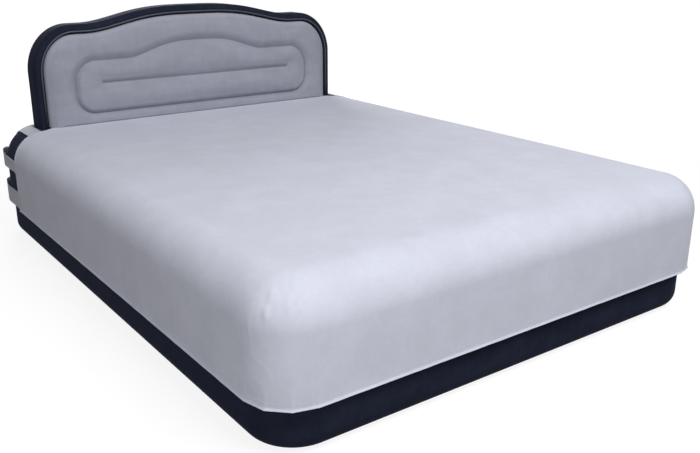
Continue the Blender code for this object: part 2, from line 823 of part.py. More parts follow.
def headboard_port(mattress, shell):
    low = MATTRESS_TOP - VINYL - SEAT_GAP
    high = BOARD_FOOT + VINYL + SEAT_GAP
    place = (0, BOARD_MIDDLE, 0)
    hole = air_port("headboard_port", place, low, high, HEADBOARD_PORT_BORE_RADIUS)
    cut(mattress, hole)
    cut(shell, hole)


# Sheet: one skin over top, foot end and sides, cut straight at its head edge
def fitted_sheet():
    rings = [sheet_plan.open_ring(HEM_HEIGHT, SHEET_HEAD_EDGE)]
    for angle in quarter(EDGE_STEPS):
        inset = SHEET_EDGE_RADIUS * (1 - math.cos(angle))
        height = SLEEP_HEIGHT - SHEET_EDGE_RADIUS + SHEET_EDGE_RADIUS * math.sin(angle)
        rings.append(sheet_plan.drawn_in(inset).open_ring(height, SHEET_HEAD_EDGE))
    sheet = loft("fitted_sheet", rings, open_rings=True, close_last=True)
    return cloth(thicken(sheet, SHEET_THICKNESS))


def sheet_hem_elastic():
    plan = sheet_plan.drawn_in(COVER)
    levels = (HEM_HEIGHT + HEM_FOLD, HEM_HEIGHT + HEM_FOLD + HEM_ELASTIC_WIDTH)
    rings = [plan.open_ring(height, SHEET_HEAD_EDGE) for height in levels]
    elastic = loft("sheet_hem_elastic", rings, open_rings=True)
    return cloth(thicken(elastic, HEM_ELASTIC_THICKNESS))


# The straps' outer faces in plan
strap_face = HEAD_WALL + PATCH_THICKNESS + 2 * SEAT_GAP + STRAP_THICKNESS
strap_centre = (BED_WIDTH / 2 - STRAP_CORNER_RADIUS, strap_face - STRAP_CORNER_RADIUS)


def side_strap(name, side, foot, width):
    radii = (STRAP_CORNER_RADIUS, STRAP_CORNER_RADIUS)
    path = [(BED_WIDTH / 2, SHEET_HEAD_EDGE + SEAT_GAP)]
    path += arc(strap_centre, radii, 0, math.pi / 2, CORNER_STEPS)
    path.append((STRAP_END, strap_face))
    path = [(side * x, y) for x, y in path]
    if side < 0:
        path.reverse()
    rings = [[(x, y, height) for x, y in path] for height in (foot, foot + width)]
    return cloth(thicken(loft(name, rings, open_rings=True), STRAP_THICKNESS))


# A strap over the top corner: it leaves the sheet's edge, follows the mattress over its head
# edge as far as it would lie there, and then spans free down to the upper strap
def top_strap(name, side):
    columns = []
    for i in range(TOP_STRAP_COLUMNS):
        x = TOP_STRAP_INNER_EDGE + TOP_STRAP_WIDTH * i / (TOP_STRAP_COLUMNS - 1)
        columns.append([(side * x, y, z) for y, z in top_strap_path(x)])
    if side > 0:
        columns.reverse()
    return cloth(thicken(loft(name, columns, open_rings=True), STRAP_THICKNESS, outward=True))


def top_strap_path(x):
    half_width, _, head, _, head_radius = mattress_plan.values
    start = math.acos(max(1 - max(half_width - x, 0) / edge_radius, 0))
    level = MATTRESS_TOP - edge_radius
    points = []
    lifts = []
    for i in range(TOP_STRAP_ROWS + 1):
        angle = start * (1 - (i / TOP_STRAP_ROWS) ** 2)
        lifts.append(Vector((math.cos(angle), math.sin(angle))) * TOP_STRAP_STANDOFF)
        inset = edge_radius * (1 - math.cos(angle))
        head_inset = HEAD_EDGE_DEPTH * (1 - math.cos(angle))
        radius = max(head_radius - inset, head_radius * LEAST_RADIUS_SHARE)
        across = min(max(x - (half_width - inset - radius), 0), radius)
        y = head - head_inset - radius + math.sqrt(radius * radius - across * across)
        points.append(Vector((y, level + edge_radius * math.sin(angle))))
    reach = STRAP_CORNER_RADIUS - STRAP_THICKNESS
    across = min(max(x - strap_centre[0], 0), reach)
    seam_y = strap_centre[1] + math.sqrt(reach * reach - across * across)
    seam = Vector((seam_y, UPPER_STRAP_FOOT + UPPER_STRAP_WIDTH + SEAT_GAP))
    lying = [point + lift for point, lift in zip(points, lifts)]
    last = min(range(len(lying)), key=lambda k: (lying[k] - seam).angle(Vector((1, 0))))
    free = len(lying) - last
    span = [lying[last].lerp(seam, i / free) for i in range(1, free + 1)]
    return [Vector((SHEET_HEAD_EDGE + SEAT_GAP, lying[0].y)), *lying[:last + 1], *span]


# How far the mattress's wall lies from the strap's arc centre, along a direction
def wall_reach(direction, aside):
    start = Vector(strap_centre) + Vector((-direction.y, direction.x)) * aside
    wall = [Vector(point[:2]) for point in mattress_plan.ring(0)]
    reaches = []
    for first, second in zip(wall, wall[1:] + wall[:1]):
        edge = second - first
        facing = direction.cross(edge)
        if facing > 0:
            along = (first - start).cross(edge) / facing
            share = (first - start).cross(direction) / facing
            if along > 0 and 0 <= share <= 1:
                reaches.append(along)
    return max(reaches)


# A loop welded on the head corner: the strap threads it, and its tab rises above the strap
def strap_loop(name, side, foot, width):
    direction = Vector((math.cos(LOOP_ANGLE), math.sin(LOOP_ANGLE)))
    asides = [LOOP_WIDTH * (i / SEAT_SAMPLES - 1 / 2) for i in range(SEAT_SAMPLES + 1)]
    back = max(wall_reach(direction, aside) for aside in asides) + SEAT_GAP
    window_front = STRAP_CORNER_RADIUS + LOOP_CLEARANCE
    front = window_front + LOOP_WALL
    low = foot - LOOP_CLEARANCE - LOOP_WALL
    high = foot + width + LOOP_RISE
    profile = [
        (back, low),
        (front, low),
        (front, high - LOOP_CHAMFER),
        (front - LOOP_CHAMFER, high),
        (back, high),
    ]
    window = [
        (back + LOOP_WALL, foot - LOOP_CLEARANCE),
        (window_front, foot - LOOP_CLEARANCE),
        (window_front, foot + width + LOOP_CLEARANCE),
        (back + LOOP_WALL, foot + width + LOOP_CLEARANCE),
    ]
    turn = LOOP_ANGLE if side > 0 else math.pi - LOOP_ANGLE
    place = (
        Matrix.Translation((side * strap_centre[0], strap_centre[1], 0))
        @ Matrix.Rotation(turn, 4, "Z")
        @ TO_FRONT_VIEW
    )
    return flocked(flat_plate(name, [profile, window], LOOP_WIDTH, place))


def strap_patch(name, side):
    outline = rounded_rectangle(PATCH_WIDTH / 2, PATCH_HEIGHT / 2, PATCH_CORNER_RADIUS)
    y = HEAD_WALL + SEAT_GAP + PATCH_THICKNESS / 2
    x = side * (STRAP_END + PATCH_WIDTH / 2)
    place = Matrix.Translation((x, y, PUMP_HEIGHT)) @ TO_FRONT_VIEW
    return rubber(flat_plate(name, [outline], PATCH_THICKNESS, place))


def straps():
    for side, word in ((-1, "left"), (1, "right")):
        side_strap("strap_upper_" + word, side, UPPER_STRAP_FOOT, UPPER_STRAP_WIDTH)
        side_strap("strap_lower_" + word, side, LOWER_STRAP_FOOT, LOWER_STRAP_WIDTH)
        top_strap("strap_top_" + word, side)
        strap_loop("strap_loop_upper_" + word, side, UPPER_STRAP_FOOT, UPPER_STRAP_WIDTH)
        strap_loop("strap_loop_lower_" + word, side, LOWER_STRAP_FOOT, LOWER_STRAP_WIDTH)
        strap_patch("strap_patch_" + word, side)


# Pump: depths run inwards from the head wall's outer face
OPENING_HALF_WIDTH = PUMP_FACE_WIDTH / 2 - PUMP_FLANGE
OPENING_HALF_HEIGHT = PUMP_FACE_HEIGHT / 2 - PUMP_FLANGE
BEZEL_BACK = HEAD_WALL + GASKET_THICKNESS + 2 * SEAT_GAP
BEZEL_FRONT = BEZEL_BACK + BEZEL_THICKNESS
HOUSING_FRONT = HEAD_WALL - VINYL - SEAT_GAP
HOUSING_FLOOR = HEAD_WALL - HOUSING_DEPTH + HOUSING_WALL
FAN_X = -FAN_OFFSET
BOSS_PLACES = [
    (u * (OPENING_HALF_WIDTH - BOSS_INSET), v * (OPENING_HALF_HEIGHT - BOSS_INSET))
    for u, v in ((-1, -1), (1, -1), (1, 1), (-1, 1))
]


def pump_matrix(y):
    return Matrix.Translation((0, y, PUMP_HEIGHT)) @ TO_FRONT_VIEW


def pump_ring(half_width, half_height, radius, y):
    outline = rounded_rectangle(half_width, half_height, radius)
    return [(u, y, PUMP_HEIGHT + v) for u, v in outline]


def pump_opening(mattress):
    outline = rounded_rectangle(OPENING_HALF_WIDTH, OPENING_HALF_HEIGHT, HOUSING_MOUTH_RADIUS)
    hole = flat_plate("pump_opening", [outline], 2 * CUT_OVERRUN, pump_matrix(HEAD_WALL))
    bpy.context.view_layer.update()
    mesh = bpy.data.meshes.new_from_object(hole.evaluated_get(bpy.context.evaluated_depsgraph_get()))
    solid = add_object("pump_opening_cutter", mesh)
    solid.matrix_world = hole.matrix_world.copy()
    bpy.data.objects.remove(hole)
    weld(solid)
    cut(mattress, helper(solid))


# Curve meshes leave their caps apart from their sides; a cutter has them joined
def weld(piece):
    bm = bmesh.new()
    bm.from_mesh(piece.data)
    bmesh.ops.remove_doubles(bm, verts=bm.verts, dist=SEAT_GAP * ON_AXIS_SHARE)
    bmesh.ops.recalc_face_normals(bm, faces=bm.faces)
    bm.to_mesh(piece.data)
    bm.free()
    return piece


def pump_gasket():
    half_width = PUMP_FACE_WIDTH / 2 - GASKET_SETBACK
    half_height = PUMP_FACE_HEIGHT / 2 - GASKET_SETBACK
    outlines = [
        rounded_rectangle(half_width, half_height, PUMP_FACE_RADIUS - GASKET_SETBACK),
        rounded_rectangle(OPENING_HALF_WIDTH, OPENING_HALF_HEIGHT, HOUSING_MOUTH_RADIUS),
    ]
    y = HEAD_WALL + SEAT_GAP + GASKET_THICKNESS / 2
    return rubber(flat_plate("pump_gasket", outlines, GASKET_THICKNESS, pump_matrix(y)))


def pump_housing():
    wide = OPENING_HALF_WIDTH
    high = OPENING_HALF_HEIGHT
    flange = PUMP_FLANGE - GASKET_SETBACK
    corner = HOUSING_MOUTH_RADIUS
    flange_back = HOUSING_FRONT - HOUSING_WALL
    rings = [
        pump_ring(wide, high, corner, HOUSING_FLOOR),
        pump_ring(wide, high, corner, HOUSING_FRONT),
        pump_ring(wide + flange, high + flange, corner + flange, HOUSING_FRONT),
        pump_ring(wide + flange, high + flange, corner + flange, flange_back),
        pump_ring(wide + HOUSING_WALL, high + HOUSING_WALL, corner + HOUSING_WALL, flange_back),
        pump_ring(wide + HOUSING_WALL, high + HOUSING_WALL, corner + HOUSING_WALL, HEAD_WALL - HOUSING_DEPTH),
    ]
    housing = loft("pump_housing", rings, close_first=True, close_last=True, tidy=True)
    for i, (x, z) in enumerate(BOSS_PLACES):
        place = (x, BEZEL_BACK - SEAT_GAP, PUMP_HEIGHT + z)
        boss = helper(rod(f"boss_{i + 1}", BOSS_RADIUS, -BOSS_LENGTH, 0, place, SMALL_ROUND_STEPS))
        fuse(housing, boss)
        web = helper(boss_web(f"boss_web_{i + 1}", x, z))
        fuse(housing, web)
        bore = rod(
            f"boss_bore_{i + 1}",
            SCREW_RADIUS + SCREW_CLEARANCE,
            BEZEL_THICKNESS - SCREW_LENGTH - CUT_OVERRUN,
            CUT_OVERRUN,
            place,
            SMALL_ROUND_STEPS,
        )
        cut(housing, helper(bore))
    fuse(housing, *flap_lugs())
    cut(housing, helper(outlet_cutter()), helper(flap_pin_bore()))
    return dark_plastic(housing)


# A web ties each boss into the housing's corner, behind the mouth
def boss_web(name, x, z):
    near = (x, z)
    far = (math.copysign(OPENING_HALF_WIDTH, x), math.copysign(OPENING_HALF_HEIGHT, z))
    reach = HOUSING_WALL / 2
    low = (min(near[0], far[0] - reach), min(near[1], far[1] - reach))
    high = (max(near[0], far[0] + reach), max(near[1], far[1] + reach))
    front = HOUSING_FRONT - HOUSING_WALL / 3
    back = BEZEL_BACK - SEAT_GAP - BOSS_LENGTH + BOSS_RADIUS / 3
    return block(name, (low[0], back, PUMP_HEIGHT + low[1]), (high[0], front, PUMP_HEIGHT + high[1]))


def bezel_screws():
    for i, (x, z) in enumerate(BOSS_PLACES):
        profile = [
            (0, BEZEL_THICKNESS - SCREW_LENGTH),
            (SCREW_RADIUS, BEZEL_THICKNESS - SCREW_LENGTH),
            (SCREW_RADIUS, BEZEL_THICKNESS + SEAT_GAP),
            (SCREW_HEAD_RADIUS, BEZEL_THICKNESS + SEAT_GAP),
            (SCREW_HEAD_RADIUS, BEZEL_THICKNESS + SEAT_GAP + SCREW_HEAD_HEIGHT / 2),
            (SCREW_RADIUS, BEZEL_THICKNESS + SEAT_GAP + SCREW_HEAD_HEIGHT),
            (0, BEZEL_THICKNESS + SEAT_GAP + SCREW_HEAD_HEIGHT),
        ]
        place = (x, BEZEL_BACK, PUMP_HEIGHT + z)
        steel(turned(f"bezel_screw_{i + 1}", profile, place, SMALL_ROUND_STEPS))


DOOR_HALF_WIDTH = CORD_BOX_WIDTH / 2 - CORD_BOX_WALL
DOOR_HALF_HEIGHT = CORD_BOX_HEIGHT / 2 - CORD_BOX_WALL
DOOR_MIDDLE = CORD_BOX_START + CORD_BOX_WIDTH / 2
DOOR_HINGE_X = DOOR_MIDDLE + DOOR_HALF_WIDTH - DOOR_CLEARANCE - DOOR_BARREL_RADIUS
DOOR_HINGE_Y = (BEZEL_BACK + BEZEL_FRONT) / 2
ROCKER_OPENING_HALF_WIDTH = ROCKER_WIDTH / 2 + DOOR_CLEARANCE
ROCKER_OPENING_HALF_HEIGHT = ROCKER_HEIGHT / 2 + ROCKER_CLEARANCE


def pump_bezel():
    outlines = [
        rounded_rectangle(PUMP_FACE_WIDTH / 2, PUMP_FACE_HEIGHT / 2, PUMP_FACE_RADIUS),
        circle(DIAL_RADIUS + DIAL_CLEARANCE, ROUND_STEPS, (FAN_X, 0)),
        rectangle(ROCKER_OPENING_HALF_WIDTH, ROCKER_OPENING_HALF_HEIGHT, SWITCH_OFFSET),
        rectangle(DOOR_HALF_WIDTH, DOOR_HALF_HEIGHT, DOOR_MIDDLE),
    ]
    for place in BOSS_PLACES:
        outlines.append(circle(SCREW_RADIUS + SCREW_CLEARANCE, SMALL_ROUND_STEPS, place))
    y = (BEZEL_BACK + BEZEL_FRONT) / 2
    plate = flat_plate("pump_bezel", outlines, BEZEL_THICKNESS, pump_matrix(y))
    bezel = dark_plastic(as_mesh(plate))
    reach = DOOR_HALF_HEIGHT + DOOR_PIN_SEAT
    bore = upright_rod(
        "door_pin_bore", DOOR_PIN_RADIUS + DOOR_PIN_CLEARANCE, reach, DOOR_HINGE_X, DOOR_HINGE_Y
    )
    finger = rod(
        "finger_notch",
        DOOR_FINGER_RADIUS,
        BEZEL_THICKNESS / 4,
        BEZEL_THICKNESS / 2 + CUT_OVERRUN,
        (DOOR_MIDDLE - DOOR_HALF_WIDTH, y, PUMP_HEIGHT),
        SMALL_ROUND_STEPS,
    )
    return cut(bezel, helper(bore), helper(finger))


def rectangle(half_width, half_height, x):
    return [
        (x - half_width, -half_height),
        (x + half_width, -half_height),
        (x + half_width, half_height),
        (x - half_width, half_height),
    ]


# The evaluated mesh of a curve piece, in the same place, so that Booleans can work on it
def as_mesh(plate):
    bpy.context.view_layer.update()
    name = plate.name
    evaluated = plate.evaluated_get(bpy.context.evaluated_depsgraph_get())
    mesh = bpy.data.meshes.new_from_object(evaluated)
    matrix = plate.matrix_world.copy()
    bpy.data.objects.remove(plate)
    mesh.name = name
    mesh.materials.clear()
    piece = add_object(name, mesh)
    piece.matrix_world = matrix
    return weld(piece)


# A rod along Z, centred on the pump's height
def upright_rod(name, radius, reach, x, y):
    piece = rod(name, radius, -reach, reach, (x, y, PUMP_HEIGHT), SMALL_ROUND_STEPS)
    piece.rotation_euler = (math.pi / 2, 0, 0)
    return piece


def cord_door():
    clear = DOOR_CLEARANCE
    left = DOOR_MIDDLE - DOOR_HALF_WIDTH + clear
    half_height = DOOR_HALF_HEIGHT - clear
    hinge = Vector((DOOR_HINGE_X, DOOR_HINGE_Y, PUMP_HEIGHT))
    leaf = block(
        "cord_door",
        (left - hinge.x, -DOOR_THICKNESS / 2, -half_height),
        (0, DOOR_THICKNESS / 2, half_height),
    )
    leaf.data.transform(Matrix.Translation(leaf.location))
    leaf.location = hinge
    barrel = upright_rod("door_barrel", DOOR_BARREL_RADIUS, half_height, hinge.x, hinge.y)
    bore_radius = DOOR_PIN_RADIUS + DOOR_PIN_CLEARANCE
    bore = upright_rod("door_barrel_bore", bore_radius, half_height + CUT_OVERRUN, hinge.x, hinge.y)
    fuse(leaf, helper(barrel))
    cut(leaf, helper(bore))
    return grey_plastic(leaf)


def cord_door_pin():
    reach = DOOR_HALF_HEIGHT + DOOR_PIN_SEAT - SEAT_GAP
    return steel(upright_rod("cord_door_pin", DOOR_PIN_RADIUS, reach, DOOR_HINGE_X, DOOR_HINGE_Y))


def cord_box():
    left = CORD_BOX_START
    right = CORD_BOX_START + CORD_BOX_WIDTH
    half_height = CORD_BOX_HEIGHT / 2
    front = BEZEL_BACK - SEAT_GAP
    back = front - CORD_BOX_DEPTH
    wall = CORD_BOX_WALL
    box = block(
        "cord_box",
        (left, back, PUMP_HEIGHT - half_height),
        (right, front, PUMP_HEIGHT + half_height),
    )
    inside = block(
        "cord_box_inside",
        (left + wall, back + wall, PUMP_HEIGHT - half_height + wall),
        (right - wall, front + CUT_OVERRUN, PUMP_HEIGHT + half_height - wall),
    )
    hole = rod(
        "gland_hole",
        GLAND_RADIUS + SEAT_GAP,
        -CUT_OVERRUN,
        wall + CUT_OVERRUN,
        (DOOR_MIDDLE, back, PUMP_HEIGHT),
        SMALL_ROUND_STEPS,
    )
    cut(box, helper(inside), helper(hole))
    dark_plastic(box)
    profile = [
        (GLAND_BORE_RADIUS, wall - GLAND_LENGTH),
        (GLAND_RADIUS, wall - GLAND_LENGTH),
        (GLAND_RADIUS, wall + SEAT_GAP),
        (GLAND_RADIUS + GLAND_FLANGE, wall + SEAT_GAP),
        (GLAND_RADIUS + GLAND_FLANGE, wall + SEAT_GAP + GLAND_FLANGE / 2),
        (GLAND_BORE_RADIUS, wall + SEAT_GAP + GLAND_FLANGE / 2),
    ]
    rubber(turned("cord_gland", profile, (DOOR_MIDDLE, back, PUMP_HEIGHT)))


# Dial: round plate with a grip bar across it, and a stub shaft that carries the valve
def selector_dial():
    place = (FAN_X, BEZEL_BACK, PUMP_HEIGHT)
    start = BEZEL_THICKNESS - DIAL_THICKNESS
    shaft_end = HEAD_WALL - VALVE_START - VALVE_LENGTH - BEZEL_BACK
    profile = [
        (0, shaft_end),
        (DIAL_SHAFT_RADIUS, shaft_end),
        (DIAL_SHAFT_RADIUS, start),
        (DIAL_RADIUS, start),
        (DIAL_RADIUS, 0),
        (DIAL_RADIUS, BEZEL_THICKNESS - BEZEL_BEVEL),
        (DIAL_RADIUS - BEZEL_BEVEL, BEZEL_THICKNESS),
        (0, BEZEL_THICKNESS),
    ]
    dial = turned("selector_dial", profile, place)
    grip = loft("dial_grip", grip_rings(), close_first=True, close_last=True, tidy=True)
    grip.location = place
    fuse(dial, helper(grip))
    return grey_plastic(dial)


def grip_rings():
    rings = []
    low = BEZEL_THICKNESS / 2
    high = BEZEL_THICKNESS + DIAL_GRIP_HEIGHT
    half_length = DIAL_RADIUS - BEZEL_BEVEL * 2
    for y, narrow in ((low, 0), (high - BEZEL_BEVEL, 0), (high, BEZEL_BEVEL)):
        outline = rounded_rectangle(
            DIAL_GRIP_WIDTH / 2 - narrow, half_length - narrow, DIAL_GRIP_WIDTH / 3 - narrow
        )
        rings.append([(u, y, v) for u, v in outline])
    return rings


# A drum on the dial's shaft, with two windows that line up with the fan's inlet or its outlet
def rotary_valve():
    start = HEAD_WALL - VALVE_START
    end = start - VALVE_LENGTH
    place = (FAN_X, end, PUMP_HEIGHT)
    bore = DIAL_SHAFT_RADIUS + SEAT_GAP
    profile = [
        (bore, VALVE_LENGTH - VALVE_WALL),
        (VALVE_RADIUS - VALVE_WALL, VALVE_LENGTH - VALVE_WALL),
        (VALVE_RADIUS - VALVE_WALL, 0),
        (VALVE_RADIUS, 0),
        (VALVE_RADIUS, VALVE_LENGTH),
        (bore, VALVE_LENGTH),
    ]
    valve = turned("rotary_valve", profile, place)
    half_window = VALVE_WINDOW_HEIGHT / 2
    middle = (start + end - VALVE_WALL) / 2
    window = block(
        "valve_window",
        (FAN_X - VALVE_RADIUS - CUT_OVERRUN, middle - half_window, PUMP_HEIGHT - half_window),
        (FAN_X + VALVE_RADIUS + CUT_OVERRUN, middle + half_window, PUMP_HEIGHT + half_window),
    )
    cut(valve, helper(window))
    return dark_plastic(valve)


# Fan, its housing and its motor stand one behind another on one axis
VOLUTE_FRONT = HEAD_WALL - VOLUTE_START
VOLUTE_BACK = VOLUTE_FRONT - VOLUTE_LENGTH
CAP_FRONT = VOLUTE_BACK - SEAT_GAP
CAP_BACK = CAP_FRONT - MOTOR_CAP_THICKNESS
MOTOR_FRONT = CAP_BACK - SEAT_GAP
MOTOR_BACK = HOUSING_FLOOR + SEAT_GAP
IMPELLER_BACK = CAP_FRONT + IMPELLER_RUNNING_GAP
SHAFT_FRONT = IMPELLER_BACK + IMPELLER_PLATE + IMPELLER_BLADE_HEIGHT
SHAFT_BACK = (MOTOR_FRONT + MOTOR_BACK) / 2


def fan_volute():
    place = (FAN_X, VOLUTE_BACK, PUMP_HEIGHT)
    inner = VOLUTE_RADIUS - VOLUTE_WALL
    profile = [
        (inner, 0),
        (VOLUTE_RADIUS, 0),
        (VOLUTE_RADIUS, VOLUTE_LENGTH),
        (VOLUTE_INLET_RADIUS, VOLUTE_LENGTH),
        (VOLUTE_INLET_RADIUS, VOLUTE_LENGTH - VOLUTE_WALL),
        (inner, VOLUTE_LENGTH - VOLUTE_WALL),
    ]
    volute = turned("fan_volute", profile, place)
    half_height = OUTLET_HEIGHT / 2
    outlet = block(
        "volute_outlet",
        (FAN_X - VOLUTE_RADIUS - CUT_OVERRUN, VOLUTE_BACK + VOLUTE_WALL, PUMP_HEIGHT - half_height),
        (FAN_X - inner / 2, VOLUTE_FRONT - 2 * VOLUTE_WALL, PUMP_HEIGHT + half_height),
    )
    cut(volute, helper(outlet))
    return dark_plastic(volute)


# One backward-curved blade, from the hub to the rim
def blade(bm, turn):
    rows = []
    start = IMPELLER_HUB_RADIUS * BLADE_ROOT_SHARE
    for i in range(FOOT_STEPS + 2):
        share = i / (FOOT_STEPS + 1)
        radius = start + (IMPELLER_RADIUS - start) * share
        angle = turn + IMPELLER_BLADE_SWEEP * share * share
        along = Vector((math.cos(angle), 0, math.sin(angle)))
        across = Vector((-math.sin(angle), 0, math.cos(angle))) * IMPELLER_BLADE_THICKNESS / 2
        low = AXIS_Y * IMPELLER_PLATE / 2
        high = AXIS_Y * (IMPELLER_PLATE + IMPELLER_BLADE_HEIGHT * (1 - share / 3))
        middle = along * radius
        sides = (middle - across, middle + across)
        rows.append([sides[0] + low, sides[1] + low, sides[1] + high, sides[0] + high])
    verts = [[bm.verts.new(point) for point in row] for row in rows]
    for first, second in zip(verts, verts[1:]):
        for k in range(4):
            n = (k + 1) % 4
            bm.faces.new((first[k], first[n], second[n], second[k]))
    bm.faces.new(verts[0])
    bm.faces.new(verts[-1])


def impeller():
    place = (FAN_X, IMPELLER_BACK, PUMP_HEIGHT)
    bore = SHAFT_RADIUS + SEAT_GAP
    hub_length = IMPELLER_PLATE + IMPELLER_BLADE_HEIGHT
    profile = [
        (bore, 0),
        (IMPELLER_RADIUS, 0),
        (IMPELLER_RADIUS, IMPELLER_PLATE),
        (IMPELLER_HUB_RADIUS, IMPELLER_PLATE),
        (IMPELLER_HUB_RADIUS * HUB_TIP_SHARE, hub_length),
        (bore, hub_length),
    ]
    wheel = turned("impeller", profile, place)
    bm = bmesh.new()
    for i in range(IMPELLER_BLADE_COUNT):
        blade(bm, 2 * math.pi * i / IMPELLER_BLADE_COUNT)
    bmesh.ops.recalc_face_normals(bm, faces=bm.faces)
    blades = add_mesh("impeller_blades", bm)
    blades.location = place
    fuse(wheel, helper(blades))
    return grey_plastic(wheel)


def fan_drive():
    start = SHAFT_BACK - SHAFT_FRONT
    place = (FAN_X, SHAFT_FRONT, PUMP_HEIGHT)
    steel(rod("motor_shaft", SHAFT_RADIUS, start, 0, place))
    bore = SHAFT_RADIUS + SHAFT_CLEARANCE
    place = (FAN_X, CAP_BACK, PUMP_HEIGHT)
    profile = [
        (bore, 0),
        (VOLUTE_RADIUS, 0),
        (VOLUTE_RADIUS, MOTOR_CAP_THICKNESS),
        (bore, MOTOR_CAP_THICKNESS),
    ]
    dark_plastic(turned("motor_cap", profile, place))
    place = (FAN_X, MOTOR_BACK, PUMP_HEIGHT)
    length = MOTOR_FRONT - MOTOR_BACK
    depth = MOTOR_FRONT - SHAFT_BACK + CUT_OVERRUN
    profile = [
        (0, 0),
        (MOTOR_RADIUS - MOTOR_EDGE, 0),
        (MOTOR_RADIUS, MOTOR_EDGE),
        (MOTOR_RADIUS, length),
        (bore, length),
        (bore, length - depth),
        (0, length - depth),
    ]
    steel(turned("motor_can", profile, place))


# Rocker: two sloping faces over a round back, on trunnions in the switch body's cheeks
def switch():
    half_width = ROCKER_OPENING_HALF_WIDTH
    half_height = ROCKER_OPENING_HALF_HEIGHT
    wall = SWITCH_WALL
    front = BEZEL_BACK - SEAT_GAP
    back = front - SWITCH_DEPTH
    x = SWITCH_OFFSET
    body = block(
        "switch_body",
        (x - half_width - wall, back, PUMP_HEIGHT - half_height - wall),
        (x + half_width + wall, front, PUMP_HEIGHT + half_height + wall),
    )
    inside = block(
        "switch_inside",
        (x - half_width, back + wall, PUMP_HEIGHT - half_height),
        (x + half_width, front + CUT_OVERRUN, PUMP_HEIGHT + half_height),
    )
    pivot = Vector((x, front - ROCKER_DEPTH / 2, PUMP_HEIGHT))
    hole_reach = half_width + wall * 2
    hole = level_rod("trunnion_hole", ROCKER_PIN_RADIUS + SEAT_GAP, hole_reach, pivot)
    cut(body, helper(inside), helper(hole))
    dark_plastic(body)
    tall = ROCKER_HEIGHT / 2
    face = ROCKER_DEPTH / 2 + BEZEL_THICKNESS + SEAT_GAP
    profile = [(-tall, face), (0, face - tall * math.tan(ROCKER_TILT)), (tall, face)]
    profile += arc((0, 0), (tall, ROCKER_DEPTH), 0, -math.pi, EDGE_STEPS)
    rows = [[(side * ROCKER_WIDTH / 2, y, z) for z, y in profile] for side in (-1, 1)]
    rocker = loft("rocker_switch", rows, close_first=True, close_last=True, tidy=True)
    pins = level_rod("rocker_pins", ROCKER_PIN_RADIUS, half_width + wall - SEAT_GAP, Vector((0, 0, 0)))
    pins.parent = rocker
    rocker.location = pivot
    rocker.rotation_euler = (ROCKER_TILT, 0, 0)
    fuse(rocker, helper(pins))
    return grey_plastic(rocker)


# A rod along X, centred on a place
def level_rod(name, radius, reach, place):
    piece = rod(name, radius, -reach, reach, place, SMALL_ROUND_STEPS)
    piece.rotation_euler = (0, 0, math.pi / 2)
    return piece


# The outlet in the housing's side wall, under a flap that hangs from a pin between two lugs
HOUSING_SIDE = -OPENING_HALF_WIDTH - HOUSING_WALL
FLAP_MIDDLE_Y = (VOLUTE_BACK + VOLUTE_FRONT) / 2
FLAP_HALF_WIDTH = OUTLET_WIDTH / 2 + FLAP_LAP
FLAP_PIN_X = HOUSING_SIDE - SEAT_GAP - FLAP_BARREL_RADIUS
FLAP_PIN_Z = PUMP_HEIGHT + OUTLET_HEIGHT / 2 + FLAP_LAP


def outlet_cutter():
    return block(
        "outlet_hole",
        (HOUSING_SIDE - CUT_OVERRUN, FLAP_MIDDLE_Y - OUTLET_WIDTH / 2, PUMP_HEIGHT - OUTLET_HEIGHT / 2),
        (CUT_OVERRUN - OPENING_HALF_WIDTH, FLAP_MIDDLE_Y + OUTLET_WIDTH / 2, PUMP_HEIGHT + OUTLET_HEIGHT / 2),
    )


def flap_lugs():
    lugs = []
    for side, word in ((-1, "rear"), (1, "front")):
        near = FLAP_MIDDLE_Y + side * (FLAP_HALF_WIDTH + SEAT_GAP)
        far = near + side * FLAP_LUG_WIDTH
        lug = block(
            "flap_lug_" + word,
            (FLAP_PIN_X - FLAP_BARREL_RADIUS, min(near, far), FLAP_PIN_Z - FLAP_BARREL_RADIUS),
            (HOUSING_SIDE + HOUSING_WALL / 2, max(near, far), FLAP_PIN_Z + FLAP_BARREL_RADIUS),
        )
        lugs.append(helper(lug))
    return lugs


def flap_pin_bore():
    reach = FLAP_HALF_WIDTH + FLAP_LUG_WIDTH + CUT_OVERRUN
    place = (FLAP_PIN_X, FLAP_MIDDLE_Y, FLAP_PIN_Z)
    return rod("flap_lug_bore", FLAP_PIN_RADIUS + FLAP_PIN_CLEARANCE, -reach, reach, place, SMALL_ROUND_STEPS)


def outlet_flap():
    reach = FLAP_HALF_WIDTH + FLAP_LUG_WIDTH
    place = Vector((FLAP_PIN_X, FLAP_MIDDLE_Y, FLAP_PIN_Z))
    steel(rod("outlet_flap_pin", FLAP_PIN_RADIUS, -reach, reach, place, SMALL_ROUND_STEPS))
    face = FLAP_BARREL_RADIUS
    drop = OUTLET_HEIGHT + 2 * FLAP_LAP
    flap = block(
        "outlet_flap",
        (face - FLAP_THICKNESS, -FLAP_HALF_WIDTH, -drop),
        (face, FLAP_HALF_WIDTH, 0),
    )
    flap.data.transform(Matrix.Translation(flap.location))
    flap.location = place
    barrel = rod(
        "flap_barrel", FLAP_BARREL_RADIUS, -FLAP_HALF_WIDTH, FLAP_HALF_WIDTH, place, SMALL_ROUND_STEPS
    )
    bore_reach = FLAP_HALF_WIDTH + CUT_OVERRUN
    bore_radius = FLAP_PIN_RADIUS + FLAP_PIN_CLEARANCE
    bore = rod("flap_barrel_bore", bore_radius, -bore_reach, bore_reach, place, SMALL_ROUND_STEPS)
    fuse(flap, helper(barrel))
    cut(flap, helper(bore))
    return rubber(flap)


